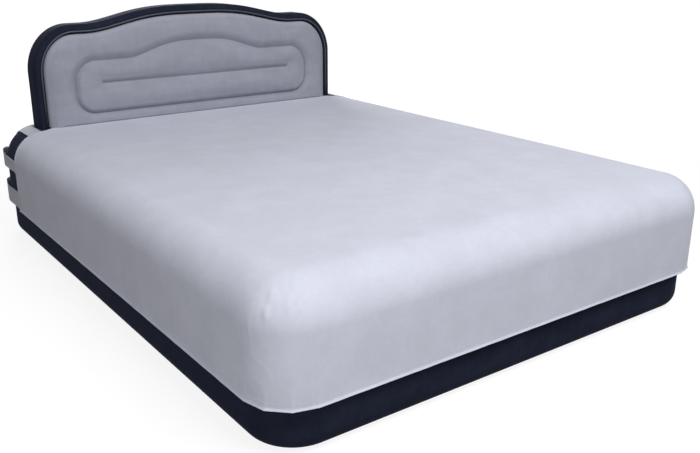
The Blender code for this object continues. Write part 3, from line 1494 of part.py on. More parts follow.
def pump(mattress):
    pump_opening(mattress)
    pump_gasket()
    pump_housing()
    pump_bezel()
    bezel_screws()
    selector_dial()
    rotary_valve()
    fan_volute()
    impeller()
    fan_drive()
    switch()
    cord_box()
    cord_door()
    cord_door_pin()
    outlet_flap()


def headboard(mattress):
    shell = headboard_shell()
    headboard_panel()
    headboard_piping()
    headboard_foot_weld()
    headboard_ties()
    headboard_port(mattress, shell)


def main():
    for old in list(bpy.data.objects):
        bpy.data.objects.remove(old)
    base = base_chamber()
    mattress = mattress_chamber()
    mid_weld_flange()
    transfer_ports(base, mattress)
    inner_room = VINYL + SEAT_GAP
    flat = BED_WIDTH / 2 - SHEET_EDGE_RADIUS
    beams("mattress_beam", MATTRESS_BEAM_COUNT, MATTRESS_FOOT + inner_room, MATTRESS_TOP - inner_room, flat)
    flat = BED_WIDTH / 2 - BASE_INSET - BASE_FOOT_ROUNDING
    beams("base_beam", BASE_BEAM_COUNT, inner_room, BASE_HEIGHT - inner_room, flat)
    headboard(mattress)
    fitted_sheet()
    sheet_hem_elastic()
    straps()
    pump(mattress)


main()
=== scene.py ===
# An air bed dressed for its picture: navy flocked chambers, a puffed headboard, a pale
# stretch sheet held by straps, and a small electric pump set into the head wall.
# Metres, +Z up, head end at +Y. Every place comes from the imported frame.

import math

import bmesh
import bpy
import numpy as np
from mathutils import Matrix, Vector


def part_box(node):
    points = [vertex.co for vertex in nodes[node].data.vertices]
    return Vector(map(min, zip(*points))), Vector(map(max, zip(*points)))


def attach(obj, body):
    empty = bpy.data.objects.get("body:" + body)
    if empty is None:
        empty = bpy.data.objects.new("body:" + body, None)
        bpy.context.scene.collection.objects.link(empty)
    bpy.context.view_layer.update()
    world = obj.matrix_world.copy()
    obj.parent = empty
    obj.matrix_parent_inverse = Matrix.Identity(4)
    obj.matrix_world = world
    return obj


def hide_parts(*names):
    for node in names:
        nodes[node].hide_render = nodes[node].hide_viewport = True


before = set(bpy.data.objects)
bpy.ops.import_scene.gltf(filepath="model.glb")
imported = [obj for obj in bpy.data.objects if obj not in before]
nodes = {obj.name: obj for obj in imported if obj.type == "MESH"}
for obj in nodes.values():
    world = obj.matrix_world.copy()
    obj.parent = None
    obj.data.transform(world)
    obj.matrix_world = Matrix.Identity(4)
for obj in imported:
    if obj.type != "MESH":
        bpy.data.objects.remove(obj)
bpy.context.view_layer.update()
print("frame loaded:", len(nodes), "nodes")


# Node values as ordinary sums
class Wire:
    def __init__(self, graph, socket):
        self.graph = graph
        self.socket = socket

    def math(self, operation, *values):
        return self.graph.node("ShaderNodeMath", {"operation": operation}, *values)

    def __add__(self, other):
        return self.math("ADD", self, other)

    def __radd__(self, other):
        return self.math("ADD", other, self)

    def __sub__(self, other):
        return self.math("SUBTRACT", self, other)

    def __rsub__(self, other):
        return self.math("SUBTRACT", other, self)

    def __mul__(self, other):
        return self.math("MULTIPLY", self, other)

    def __rmul__(self, other):
        return self.math("MULTIPLY", other, self)

    def __abs__(self):
        return self.math("ABSOLUTE", self)

    def sine(self):
        return self.math("SINE", self)

    def least(self, other):
        return self.math("MINIMUM", self, other)

    def most(self, other):
        return self.math("MAXIMUM", self, other)

    def between(self, low, high):
        smooth = {"interpolation_type": "SMOOTHSTEP"}
        return self.graph.node("ShaderNodeMapRange", smooth, self, low, high, 0.0, 1.0)


# A node tree in which one method makes every node
class Graph:
    def __init__(self, tree):
        self.tree = tree

    def node(self, kind, settings=None, *values, output=0, **named):
        made = self.tree.nodes.new(kind)
        for key, value in (settings or {}).items():
            setattr(made, key, value)
        for index, value in enumerate(values):
            self.feed(made.inputs[index], value)
        for key, value in named.items():
            self.feed(next(s for s in made.inputs if s.identifier == key), value)
        if isinstance(output, str):
            output = [s.identifier for s in made.outputs].index(output)
        return Wire(self, made.outputs[output])

    def feed(self, socket, value):
        if isinstance(value, Wire):
            self.tree.links.new(value.socket, socket)
        elif isinstance(value, tuple) and socket.type == "RGBA":
            socket.default_value = (*value, 1)
        else:
            socket.default_value = value


# One material: a principled shader and the nodes that feed it
class Finish(Graph):
    def __init__(self, name, colour, roughness, metallic=0.0):
        self.material = bpy.data.materials.new(name)
        self.material.use_nodes = True
        self.material.diffuse_color = (*colour, 1)
        super().__init__(self.material.node_tree)
        self.shader = self.tree.nodes["Principled BSDF"]
        self.colour = colour
        self.fixed("Base Color", (*colour, 1)).fixed("Roughness", roughness).fixed("Metallic", metallic)

    def fixed(self, socket, value):
        self.shader.inputs[socket].default_value = value
        return self

    def link(self, socket, value):
        self.tree.links.new(value.socket, self.shader.inputs[socket])

    def place(self):
        return self.node("ShaderNodeTexCoord", output="Object")

    def axis(self, vector, letter):
        return self.node("ShaderNodeSeparateXYZ", None, vector, output=letter)

    def noise(self, scale, detail, roughness, at=None, stretch=None):
        at = at or self.place()
        if stretch:
            at = self.node("ShaderNodeMapping", None, at, Scale=stretch)
        sizes = {"Scale": scale, "Detail": detail, "Roughness": roughness}
        return self.node("ShaderNodeTexNoise", None, Vector=at, **sizes)

    def cells(self, scale):
        return self.node("ShaderNodeTexVoronoi", None, Vector=self.place(), Scale=scale)

    def attribute(self, name):
        return self.node("ShaderNodeAttribute", {"attribute_name": name}, output="Fac")

    def mix(self, share, first, second):
        colours = {"Factor_Float": share, "A_Color": first, "B_Color": second}
        return self.node("ShaderNodeMix", {"data_type": "RGBA"}, output="Result_Color", **colours)

    def shade(self, factor):
        return tuple(min(c * factor, 1) for c in self.colour)

    # Tone is a share with the darkest and the lightest shade of the colour, relief a height
    # and its distance, and marks shade the colour further. Returns the finished material.
    def varied(self, tone, relief, roughness=None, marks=()):
        share, low, high = tone
        colour = self.mix(share, self.shade(low), self.shade(high))
        for mark, factor in marks:
            colour = self.mix(mark, colour, self.shade(factor))
        self.link("Base Color", colour)
        if roughness:
            self.link("Roughness", roughness)
        height, distance = relief
        self.link("Normal", self.node("ShaderNodeBump", None, Distance=distance, Height=height))
        return self.material


# Cloth woven from fine threads; "lay" is a flat layout in metres
cloth = {
    "colour": (0.656, 0.672, 0.780),
    "strapColour": (0.545, 0.558, 0.635),
    "thread": 0.0008,
    "relief": 0.00010,
    "sheen": 0.30,
}


def wovenFinish(name, colour, thread, relief, ribs=0.0):
    f = Finish(name, colour, 0.88)
    f.fixed("Sheen Weight", cloth["sheen"]).fixed("Sheen Roughness", 0.45)
    f.fixed("Sheen Tint", (0.92, 0.94, 1.0, 1)).fixed("Specular IOR Level", 0.12)
    lay = f.node("ShaderNodeUVMap", {"uv_map": "lay"})
    across, along = f.axis(lay, "X"), f.axis(lay, "Y")
    turns = math.pi / thread
    weave = (across * turns).sine() * (along * turns).sine()
    rib = abs((along * (turns / 3)).sine()) * ribs
    fibre = f.noise(5200.0, 2.0, 0.6, at=lay)
    smudge = f.noise(9.0, 4.0, 0.62)
    fleck = f.noise(75.0, 3.0, 0.65)
    patch = f.noise(3.2, 2.0, 0.5)
    # short soft wrinkles, in places only
    fold = 1 - abs(f.noise(12.0, 1.5, 0.5) - 0.5).between(0.0, 0.09)
    fold = fold * f.noise(4.5, 2.0, 0.5).between(0.47, 0.70)
    tone = smudge.between(0.35, 0.70) * 0.45 + fleck.between(0.42, 0.74) * 0.25 + patch * 0.30
    tone = tone + (fibre - 0.5) * 0.20
    height = weave * 0.5 + rib + fibre * 0.4 + smudge * 2.4 + fleck * 1.8 + fold * 4.0
    return f.varied((tone, 0.92, 1.06), (height, relief), 0.84 + fibre * 0.10)


# Twisted sewing thread
def threadFinish(name, colour):
    f = Finish(name, colour, 0.70)
    f.fixed("Sheen Weight", 0.3).fixed("Sheen Roughness", 0.4)
    twist = f.noise(2400.0, 2.0, 0.6, stretch=(1.0, 1.0, 2.5))
    return f.varied((twist, 0.86, 1.08), (twist, 0.00012), 0.62 + twist * 0.2)


# Flocked vinyl: a short nap over a soft skin, with brushed patches
flock = {
    "navy": (0.0166, 0.0203, 0.0365),
    "grey": (0.322, 0.332, 0.392),
    "nap": 1500.0,
    "relief": 0.00016,
    # the first mark darkens the welds and paints shade into the crease under the field; the second paints a
    # highlight along the panel's edges
    "marks": {"pressed": 0.5, "rubbed": 1.6},  # what each mark does to the colour
}


def flockFinish(name, colour, sheen, tint, spread, marked=False):
    f = Finish(name, colour, 0.86)
    f.fixed("Sheen Weight", sheen).fixed("Sheen Roughness", 0.38).fixed("Sheen Tint", (*tint, 1))
    f.fixed("Specular IOR Level", 0.03)
    nap = f.noise(flock["nap"], 3.0, 0.7)
    tuft = f.cells(flock["nap"] * 0.45)
    brushed = f.noise(7.0, 3.0, 0.6, stretch=(1.0, 1.0, 2.4))
    strokes = f.noise(42.0, 3.0, 0.6, stretch=(1.0, 1.0, 0.35))
    tone = brushed.between(0.34, 0.68) * 0.40 + strokes.between(0.35, 0.7) * 0.22 + nap * 0.38
    # the nap lies flat and darker along welds; painted shade darkens the crease under the field, and a
    # painted highlight lightens the panel's edges
    marks = [(f.attribute(mark), shade) for mark, shade in flock["marks"].items()] if marked else ()
    height = nap * 0.7 + tuft * 0.5 + strokes * 0.6
    tone = (tone, 1 - spread, 1 + 1.2 * spread)
    return f.varied(tone, (height, flock["relief"]), 0.78 + brushed * 0.14, marks)


# Smooth vinyl, as on welds, beads and loops
def vinylFinish(name, colour, roughness, coat):
    f = Finish(name, colour, roughness)
    f.fixed("Coat Roughness", 0.35).fixed("Coat Weight", coat)
    grain = f.cells(900.0)
    cloud = f.noise(18.0, 3.0, 0.6)
    tone = (cloud * 0.8 + grain * 0.3, 0.86, 1.16)
    return f.varied(tone, (grain + cloud * 2.0, 0.00006), roughness - 0.06 + cloud * 0.14)


# Fine grained moulded plastic, a little polished where hands reach it
def mouldedFinish(name, colour, roughness):
    f = Finish(name, colour, roughness)
    f.fixed("Specular IOR Level", 0.45)
    grain = f.cells(2600.0)
    pits = f.noise(3400.0, 2.0, 0.6)
    wear = f.noise(26.0, 4.0, 0.65)
    tone = (wear * 0.7 + pits * 0.3, 0.86, 1.18)
    return f.varied(tone, (grain * 0.7 + pits * 0.5, 0.00005), roughness - 0.10 + wear * 0.20)


def rubberFinish(name, colour):
    f = Finish(name, colour, 0.74)
    f.fixed("Specular IOR Level", 0.30)
    bloom = f.noise(60.0, 4.0, 0.6)
    grain = f.noise(1800.0, 2.0, 0.6)
    return f.varied((bloom, 0.80, 1.45), (grain, 0.00006), 0.62 + bloom * 0.22)


# Metal with turning marks drawn out along one axis
def metalFinish(name, colour, roughness, stretch):
    f = Finish(name, colour, roughness, 1.0)
    marks = f.noise(700.0, 3.0, 0.6, stretch=stretch)
    stain = f.noise(90.0, 3.0, 0.6)
    tone = (stain * 0.6 + marks * 0.4, 0.82, 1.12)
    return f.varied(tone, (marks, 0.00003), roughness - 0.08 + marks * 0.16)


# Hook tape: close rows of small bristly hooks in a dark ground
def hookFinish(name, colour, pitch):
    f = Finish(name, colour, 0.80)
    place = f.place()
    turns = 2 * math.pi / pitch
    rows = (f.axis(place, "X") * turns).sine() * (f.axis(place, "Z") * turns).sine()
    dustAndShade = f.noise(130.0, 4.0, 0.65)
    return f.varied((rows.between(-0.2, 0.9) * 0.6 + dustAndShade * 0.4, 0.65, 1.9), (rows, 0.0003))


# Clear inner vinyl with a pressed lattice
def innerFinish(name, colour, pitch):
    f = Finish(name, colour, 0.42)
    place = f.place()
    across, upward = f.axis(place, "X"), f.axis(place, "Z")
    turns = math.pi / pitch
    lattice = abs(((across + upward) * turns).sine()).least(abs(((across - upward) * turns).sine()))
    haze = f.noise(14.0, 3.0, 0.6)
    return f.varied((haze, 0.88, 1.10), (lattice.between(0.0, 0.35), 0.0002), 0.34 + haze * 0.16)


thread, relief = cloth["thread"], cloth["relief"]
sheetCloth = wovenFinish("sheetCloth", cloth["colour"], thread, relief)
strapCloth = wovenFinish("strapCloth", cloth["strapColour"], thread * 1.5, relief * 1.4, 0.5)
elasticTape = wovenFinish("elasticTape", cloth["strapColour"], 0.0022, 0.00035, 1.2)
navyFlock = flockFinish("navyFlock", flock["navy"], 0.04, (0.55, 0.62, 1.0), 0.30)
greyFlock = flockFinish("greyFlock", flock["grey"], 0.10, (0.90, 0.92, 1.0), 0.10, True)
navyVinyl = vinylFinish("navyVinyl", (0.015, 0.018, 0.032), 0.50, 0.0)
beadVinyl = vinylFinish("beadVinyl", (0.036, 0.040, 0.058), 0.42, 0.06)
innerVinyl = innerFinish("innerVinyl", (0.45, 0.48, 0.52), 0.006)
hookTape = hookFinish("hookTape", (0.030, 0.033, 0.050), 0.0016)
blackRubber = rubberFinish("blackRubber", (0.032, 0.032, 0.034))
blackPlastic = mouldedFinish("blackPlastic", (0.026, 0.027, 0.032), 0.42)
greyPlastic = mouldedFinish("greyPlastic", (0.190, 0.200, 0.220), 0.44)
markPaint = mouldedFinish("markPaint", (0.620, 0.630, 0.640), 0.50)
zincSteel = metalFinish("zincSteel", (0.560, 0.570, 0.590), 0.32, (1.0, 6.0, 1.0))
canSteel = metalFinish("canSteel", (0.500, 0.510, 0.530), 0.34, (1.0, 9.0, 1.0))
sewingThread = threadFinish("sewingThread", (0.700, 0.710, 0.770))
print("materials made")


# Geometry node trees are wired with the same helper as the shaders
class Layout(Graph):
    def __init__(self, name, sizes):
        super().__init__(bpy.data.node_groups.new(name, "GeometryNodeTree"))
        face = self.tree.interface
        face.new_socket("Geometry", in_out="INPUT", socket_type="NodeSocketGeometry")
        for label, (kind, _) in sizes.items():
            face.new_socket(label, in_out="INPUT", socket_type="NodeSocket" + kind)
        face.new_socket("Geometry", in_out="OUTPUT", socket_type="NodeSocketGeometry")
        self.entry = self.tree.nodes.new("NodeGroupInput")
        self.exit = self.tree.nodes.new("NodeGroupOutput")
        self.sizes = sizes

    def given(self, label):
        return Wire(self, self.entry.outputs[label])

    # Closes the tree, puts it on a piece, sets its named inputs, and leaves a plain mesh behind
    def apply(self, instances, piece):
        whole = self.node("GeometryNodeRealizeInstances", None, instances)
        painted = self.node("GeometryNodeSetMaterial", None, whole, Material=self.given("Material"))
        self.tree.links.new(painted.socket, self.exit.inputs[0])
        modifier = piece.modifiers.new(self.tree.name, "NODES")
        modifier.node_group = self.tree
        for item in self.tree.interface.items_tree:
            if item.in_out == "INPUT" and item.name in self.sizes:
                modifier[item.identifier] = self.sizes[item.name][1]
        return plain(piece)


# Small pieces set along lines and turned with them: stitches are round, bars are square
def alongLines(name, paths, material, shape, pitch, length, width, height, closed=False):
    piece = lines(name, paths, material, closed)
    sizes = {"Pitch": pitch, "Length": length, "Width": width, "Height": height}
    sizes = {label: ("Float", value) for label, value in sizes.items()}
    g = Layout("along_" + name, {**sizes, "Material": ("Material", material)})
    line = g.node("GeometryNodeMeshToCurve", None, g.given("Geometry"))
    spaced = g.node("GeometryNodeResampleCurve", {"mode": "LENGTH"}, line, Length=g.given("Pitch"))
    if shape == "stitch":
        single = g.node("GeometryNodeMeshUVSphere", None, 5, 4, 0.5)
    else:
        single = g.node("GeometryNodeMeshCube", None, (1.0, 1.0, 1.0))
    heading = g.node("GeometryNodeInputTangent")
    turned = g.node("FunctionNodeAlignRotationToVector", {"axis": "X"}, Vector=heading)
    size = g.node("ShaderNodeCombineXYZ", None, g.given("Length"), g.given("Width"), g.given("Height"))
    many = g.node("GeometryNodeInstanceOnPoints", None, spaced, Instance=single, Rotation=turned, Scale=size)
    return g.apply(many, piece)


def lines(name, paths, material, closed=False):
    edges = []
    start = 0
    for path in paths:
        places = range(start, start + len(path))
        edges += zip(places, places[1:])
        if closed:
            edges.append((places[-1], start))
        start += len(path)
    return shown(name, meshOf(name, np.concatenate(paths), [], None, edges), material)


# Meshes and pieces
def shown(name, mesh, material):
    piece = bpy.data.objects.new(name, mesh)
    bpy.context.scene.collection.objects.link(piece)
    mesh.materials.clear()
    mesh.materials.append(material)
    return piece


def evaluated(piece):
    bpy.context.view_layer.update()
    graph = bpy.context.evaluated_depsgraph_get()
    return bpy.data.meshes.new_from_object(piece.evaluated_get(graph))


def plain(piece):
    mesh = evaluated(piece)
    mesh.name = piece.name
    piece.modifiers.clear()
    piece.data = mesh
    return piece


def rides(piece, slot, *stoodFor, body="bed"):
    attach(piece, body)
    if stoodFor:
        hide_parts(*stoodFor)
    return piece


def meshOf(name, points, faces, lay=None, edges=()):
    mesh = bpy.data.meshes.new(name)
    mesh.from_pydata([tuple(p) for p in np.asarray(points, float)], list(edges), faces)
    if lay is not None:
        corners = np.zeros(len(mesh.loops), np.int32)
        mesh.loops.foreach_get("vertex_index", corners)
        mesh.uv_layers.new(name="lay").data.foreach_set("uv", np.asarray(lay, np.float32)[corners].ravel())
    mesh.shade_smooth()
    return mesh


# Rings of equal count joined in order; each runs counterclockwise seen from where they lead
def skin(rings, closed=True, firstCap=False, lastCap=False):
    rings = np.asarray(rings, float)
    count, around = rings.shape[:2]
    faces = []
    for row in range(count - 1):
        for k in range(around if closed else around - 1):
            a = row * around + k
            b = row * around + (k + 1) % around
            faces.append((a, b, b + around, a + around))
    if firstCap:
        faces.append(tuple(reversed(range(around))))
    if lastCap:
        faces.append(tuple(range((count - 1) * around, count * around)))
    return rings.reshape(-1, 3), faces


def skinned(name, rings, material, closed=True, firstCap=False, lastCap=False, lay=None):
    points, faces = skin(rings, closed, firstCap, lastCap)
    return shown(name, meshOf(name, points, faces, lay), material)


# Distances along rows and columns, as a flat layout for cloth
def flatLay(rings):
    rings = np.asarray(rings, float)
    along = np.linalg.norm(np.diff(rings, axis=1), axis=2).mean(0)
    across = np.linalg.norm(np.diff(rings, axis=0), axis=2).mean(1)
    u, v = [np.concatenate([[0], np.cumsum(steps)]) for steps in (along, across)]
    return np.stack(np.meshgrid(u, v), 2).reshape(-1, 2)


def quarter(steps):
    return np.linspace(0, math.pi / 2, steps + 1)


def unit(vectors):
    return vectors / np.linalg.norm(vectors, axis=-1, keepdims=True)


def arc(middle, radius, angles):
    return np.stack([middle[0] + radius * np.cos(angles), middle[1] + radius * np.sin(angles)], 1)


def circlePoints(radius, steps, middle=(0.0, 0.0)):
    return arc(middle, radius, np.linspace(0, 2 * math.pi, steps, endpoint=False))


# The outline of a plate with rounded corners, counterclockwise
def softRectangle(halfWidth, halfHeight, radius, steps=8, middle=(0.0, 0.0)):
    points = []
    for turn, (u, v) in enumerate(((1, 1), (-1, 1), (-1, -1), (1, -1))):
        corner = (middle[0] + u * (halfWidth - radius), middle[1] + v * (halfHeight - radius))
        points.append(arc(corner, radius, math.pi / 2 * turn + quarter(steps)))
    return np.concatenate(points)


# A section carried along a path; its first number lies beside the path, its second along "up"
def carried(path, section, up):
    path, section = np.asarray(path, float), np.asarray(section, float)
    tangent = unit(np.gradient(path, axis=0))
    side = unit(np.cross(tangent, np.broadcast_to(np.asarray(up, float), path.shape)))
    rise = np.cross(side, tangent)
    return path[:, None] + side[:, None] * section[None, :, :1] + rise[:, None] * section[None, :, 1:]


def tube(name, path, section, up, material, lay=False):
    rings = carried(path, section, up)[:, ::-1]
    piece = skinned(name, rings, material, True, True, True, flatLay(rings) if lay else None)
    mended(piece.data)
    return piece


# A path at one height from rows of x, y and heading, and the way outwards along it
def ribbonPath(rows, height, side=1):
    x, y, heading = np.array(rows).T
    path = np.stack([side * x, y, np.full(len(x), height)], 1)
    return path, np.stack([side * np.cos(heading), np.sin(heading), np.zeros(len(x))], 1)


# A flat band's section with plump hemmed edges: width across, thickness upwards from zero
def bandSection(width, thickness, hem, plump):
    half = width / 2
    across = np.array([half, half - hem * 0.3, half - hem, half - hem * 1.2, 0.0])
    across = np.concatenate([across, -across[-2::-1]])
    top = np.array([0.5, 1 + plump, 1 + plump, 1.0, 1.0])
    top = np.concatenate([top, top[-2::-1]]) * thickness
    under = np.stack([across[::-1][1:-1], np.zeros(len(across) - 2)], 1)
    return np.concatenate([np.stack([across, top], 1), under])


# A plate cut to closed outlines, inner ones being holes, with softened edges. It has its
# thickness about its middle, and the matrix puts it in place.
def plate(name, outlines, thickness, place, material, soften=0.0, segments=3):
    curve = bpy.data.curves.new(name, "CURVE")
    curve.dimensions = "2D"
    curve.fill_mode = "BOTH"
    curve.extrude = thickness / 2
    for outline in outlines:
        spline = curve.splines.new("POLY")
        spline.points.add(len(outline) - 1)
        spline.use_cyclic_u = True
        for point, (u, v) in zip(spline.points, outline):
            point.co = (u, v, 0, 1)
    holder = bpy.data.objects.new(name + "_outline", curve)
    bpy.context.scene.collection.objects.link(holder)
    mesh = evaluated(holder)
    bpy.data.objects.remove(holder)
    bpy.data.curves.remove(curve)
    mesh.transform(place)
    piece = shown(name, mended(mesh), material)
    if soften:
        softened(piece, soften, segments)
    return creased(piece)


# Turns a flat drawing's (x, z) upright, its middle at a depth along Y
def frontView(y):
    return Matrix.Translation((0, y, 0)) @ Matrix.Rotation(math.pi / 2, 4, "X")


def upright(name, outlines, nearY, farY, material, soften=0.0, segments=3):
    return plate(name, outlines, farY - nearY, frontView((nearY + farY) / 2), material, soften, segments)


def mended(mesh):
    bm = bmesh.new()
    bm.from_mesh(mesh)
    bmesh.ops.remove_doubles(bm, verts=bm.verts, dist=1e-6)
    bmesh.ops.recalc_face_normals(bm, faces=bm.faces)
    bm.to_mesh(mesh)
    bm.free()
    return mesh


def softened(piece, width, segments=3, angle=50):
    bevel = piece.modifiers.new("soften", "BEVEL")
    bevel.width = width
    bevel.segments = segments
    bevel.limit_method = "ANGLE"
    bevel.angle_limit = math.radians(angle)
    bevel.use_clamp_overlap = True
    bevel.harden_normals = True
    return plain(piece)


def creased(piece, angle=35):
    piece.data.shade_smooth()
    piece.data.set_sharp_from_angle(angle=math.radians(angle))
    return piece


def evenShaded(piece):  # wide flat faces keep one shade up to their rounded edges
    even = piece.modifiers.new("even", "WEIGHTED_NORMAL")
    even.mode = "FACE_AREA"
    even.weight = 100
    even.keep_sharp = True
    return plain(piece)


def thickened(piece, wall, outward=False):
    solidify = piece.modifiers.new("wall", "SOLIDIFY")
    solidify.thickness = wall
    solidify.offset = 1 if outward else -1
    solidify.use_even_offset = True
    return plain(piece)


# Takes cutters away from a piece and leaves one plain mesh
def cutBy(piece, cutters):
    for cutter in cutters:
        boolean = piece.modifiers.new(cutter.name, "BOOLEAN")
        boolean.operation = "DIFFERENCE"
        boolean.object = cutter
        boolean.solver = "EXACT"
    plain(piece)
    for cutter in cutters:
        bpy.data.objects.remove(cutter)


def cuboid(name, low, high, material):
    bm = bmesh.new()
    bmesh.ops.create_cube(bm, size=1)
    size = Vector(high) - Vector(low)
    place = Matrix.Translation((Vector(high) + Vector(low)) / 2) @ Matrix.Diagonal((*size, 1))
    bmesh.ops.transform(bm, matrix=place, verts=bm.verts)
    mesh = bpy.data.meshes.new(name)
    bm.to_mesh(mesh)
    bm.free()
    return shown(name, mesh, material)


# A body turned about an axis along Y: profile pairs are (radius, y)
def lathe(name, profile, x, z, material, steps):
    rings = []
    for radius, y in profile:
        across, up = circlePoints(radius, steps, (x, z)).T
        rings.append(np.stack([across, np.full(steps, y), up], 1))
    points, faces = skin(rings)
    faces += [tuple(range(steps)), tuple(range((len(profile) - 1) * steps, len(profile) * steps))]
    return creased(shown(name, mended(meshOf(name, points, faces)), material))


def joined(name, pieces):
    bm = bmesh.new()
    for piece in pieces:
        bm.from_mesh(piece.data)
    mesh = bpy.data.meshes.new(name)
    bm.to_mesh(mesh)
    bm.free()
    whole = shown(name, mesh, pieces[0].data.materials[0])
    for piece in pieces:
        bpy.data.objects.remove(piece)
    return whole


# Air chambers. A plan holds half width, foot end, head end and the corner radii at foot and head.
mattressLow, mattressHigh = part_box("mattress_chamber")
baseLow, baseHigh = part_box("base_chamber")

chamber = {
    "footRadius": 0.1125,
    "headRadius": 0.160,
    "edge": 0.108,
    "headEdge": 0.085,
    "lowerRise": 0.020,
    "baseRadius": 0.127,
    "footRounding": 0.0468,
    "weld": 0.030,
    "wall": 0.0006,
    "wallStart": 0.0004,
    "seam": 0.3205,
    "seamDepth": 0.0011,
    "seamWidth": 0.0024,
    "seamRows": (-2.2, -1.4, -0.7, 0, 0.7, 1.4, 2.2),
    "footFacets": 1.15,
    "swell": 0.0007,
    "cornerSteps": 18,
    "runSteps": 34,
}


def drawnIn(plan, amount, headAmount=None):
    halfWidth, foot, head, footRadius, headRadius = plan
    headAmount = amount if headAmount is None else headAmount
    radii = [max(radius - amount, radius * 0.1) for radius in (footRadius, headRadius)]
    return np.array([halfWidth - amount, foot - amount, head - headAmount, *radii])


def blended(first, second, share):
    return first + (second - first) * share


# Points round a plan's outline, counterclockwise from above
def planRing(plan, height):
    halfWidth, foot, head, footRadius, headRadius = plan
    corners = (
        (halfWidth - headRadius, head - headRadius, headRadius),
        (headRadius - halfWidth, head - headRadius, headRadius),
        (footRadius - halfWidth, footRadius - foot, footRadius),
        (halfWidth - footRadius, footRadius - foot, footRadius),
    )
    bends = []
    for turn, (x, y, radius) in enumerate(corners):
        bends.append(arc((x, y), radius, math.pi / 2 * turn + quarter(chamber["cornerSteps"])))
    shares = np.arange(1, chamber["runSteps"])[:, None] / chamber["runSteps"]
    points = []
    for turn, bend in enumerate(bends):
        points += [bend, blended(bend[-1], bends[(turn + 1) % 4][0], shares)]
    plane = np.concatenate(points)
    return np.column_stack([plane, np.full(len(plane), height)])


# A weld seam pressed into the mattress: its depth at a height
def seamDepth(height):
    return chamber["seamDepth"] * math.exp(-(((height - chamber["seam"]) / chamber["seamWidth"]) ** 2))


# Long shallow waves that air pressure leaves in the base between its beams
def swelled(rings):
    rings = np.array(rings, float)
    x, y, z = rings[..., 0], rings[..., 1], rings[..., 2]
    wave = np.sin(9.1 * x + 3.3 * y + 0.6) * 0.6 + np.sin(17.3 * y - 5.1 * x + 2.1) * 0.4
    rise = np.clip((z - baseLow.z) / (baseHigh.z - baseLow.z), 0, 1)
    middle = np.clip(np.sin(np.pi * rise), 0, 1)
    away = np.stack([x / np.abs(x).max(), y / np.abs(y).max()], -1)
    away = np.sign(away) * np.abs(away) ** 12
    rings[..., :2] -= away * (chamber["swell"] * middle * (1 + wave))[..., None] * 0.5
    return rings


basePlan = np.array([baseHigh.x, -baseLow.y, baseHigh.y, chamber["baseRadius"], chamber["baseRadius"]])
weldPlan = drawnIn(basePlan, chamber["weld"])
mattressPlan = np.array(
    [mattressHigh.x, -mattressLow.y, mattressHigh.y, chamber["footRadius"], chamber["headRadius"]]
)


def baseBody():
    rounding, weld, gap = chamber["footRounding"], chamber["weld"], chamber["wallStart"]
    rings = []
    for angle in quarter(12):
        plan = drawnIn(basePlan, rounding * (1 - math.sin(angle)))
        rings.append(planRing(plan, baseLow.z + rounding * (1 - math.cos(angle))))
    for height in np.linspace(rounding + gap, baseHigh.z - weld - gap, 8):
        rings.append(planRing(basePlan, height))
    for angle in quarter(8):
        plan = drawnIn(basePlan, weld * (1 - math.cos(angle)))
        rings.append(planRing(plan, baseHigh.z - weld + weld * math.sin(angle)))
    piece = skinned("baseBody", swelled(rings), navyFlock, True, True, True)
    thickened(piece, chamber["wall"])
    rides(creased(piece), "navy_vinyl", "base_chamber")


# The mattress's plan and height where its upper rounding has turned by an angle
def mattressRounding(angle):
    edge = chamber["edge"]
    plan = drawnIn(mattressPlan, edge * (1 - math.cos(angle)), chamber["headEdge"] * (1 - math.cos(angle)))
    return plan, mattressHigh.z - edge + edge * math.sin(angle)


def mattressBody():
    edge, gap = chamber["edge"], chamber["wallStart"]
    rings = []
    for angle in quarter(8):
        plan = blended(weldPlan, mattressPlan, math.sin(angle))
        rings.append(planRing(plan, mattressLow.z + chamber["lowerRise"] * (1 - math.cos(angle))))
    start = mattressHigh.z - edge
    for height in np.linspace(mattressLow.z + chamber["lowerRise"] + gap, start - gap, 10):
        rings.append(planRing(mattressPlan, height))
    seamHeights = [chamber["seam"] + chamber["seamWidth"] * k for k in chamber["seamRows"]]
    for angle in sorted([*quarter(14), *[math.asin((z - start) / edge) for z in seamHeights]]):
        plan, height = mattressRounding(angle)
        rings.append(planRing(drawnIn(plan, seamDepth(height)), height))
    rings = [faceted(ring, chamber["footFacets"]) for ring in rings]
    piece = skinned("mattressBody", rings, navyFlock, True, True, True)
    thickened(piece, chamber["wall"])
    rim = pump["rim"]
    low = (bezelLow.x + rim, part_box("cord_box")[0].y - 0.10, bezelLow.z + rim)
    high = (bezelHigh.x - rim, bezelHigh.y, bezelHigh.z - rim)
    cutBy(piece, [cuboid("pumpMouth", low, high, navyFlock)])
    rides(creased(piece), "navy_vinyl", "mattress_chamber")


# Flat weld flanges between the chambers, pressed with short bars
weldBand = {"width": 0.012, "footWidth": 0.008, "soften": 0.0003, "bar": (0.0042, 0.0018, 0.0052, 0.0005)}


def weldFlange(node, name, outer, inner):
    low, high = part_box(node)
    thickness = high.z - low.z
    place = Matrix.Translation((0, 0, (low.z + high.z) / 2))
    body = plate(name + "Band", [outer, inner], thickness, place, navyVinyl, weldBand["soften"], 2)
    middle = (outer + inner) / 2
    level = np.column_stack([middle, np.full(len(middle), high.z)])
    bars = alongLines(name + "Bars", [level], navyVinyl, "bar", *weldBand["bar"], closed=True)
    rides(joined(name, [body, bars]), "navy_vinyl", node)


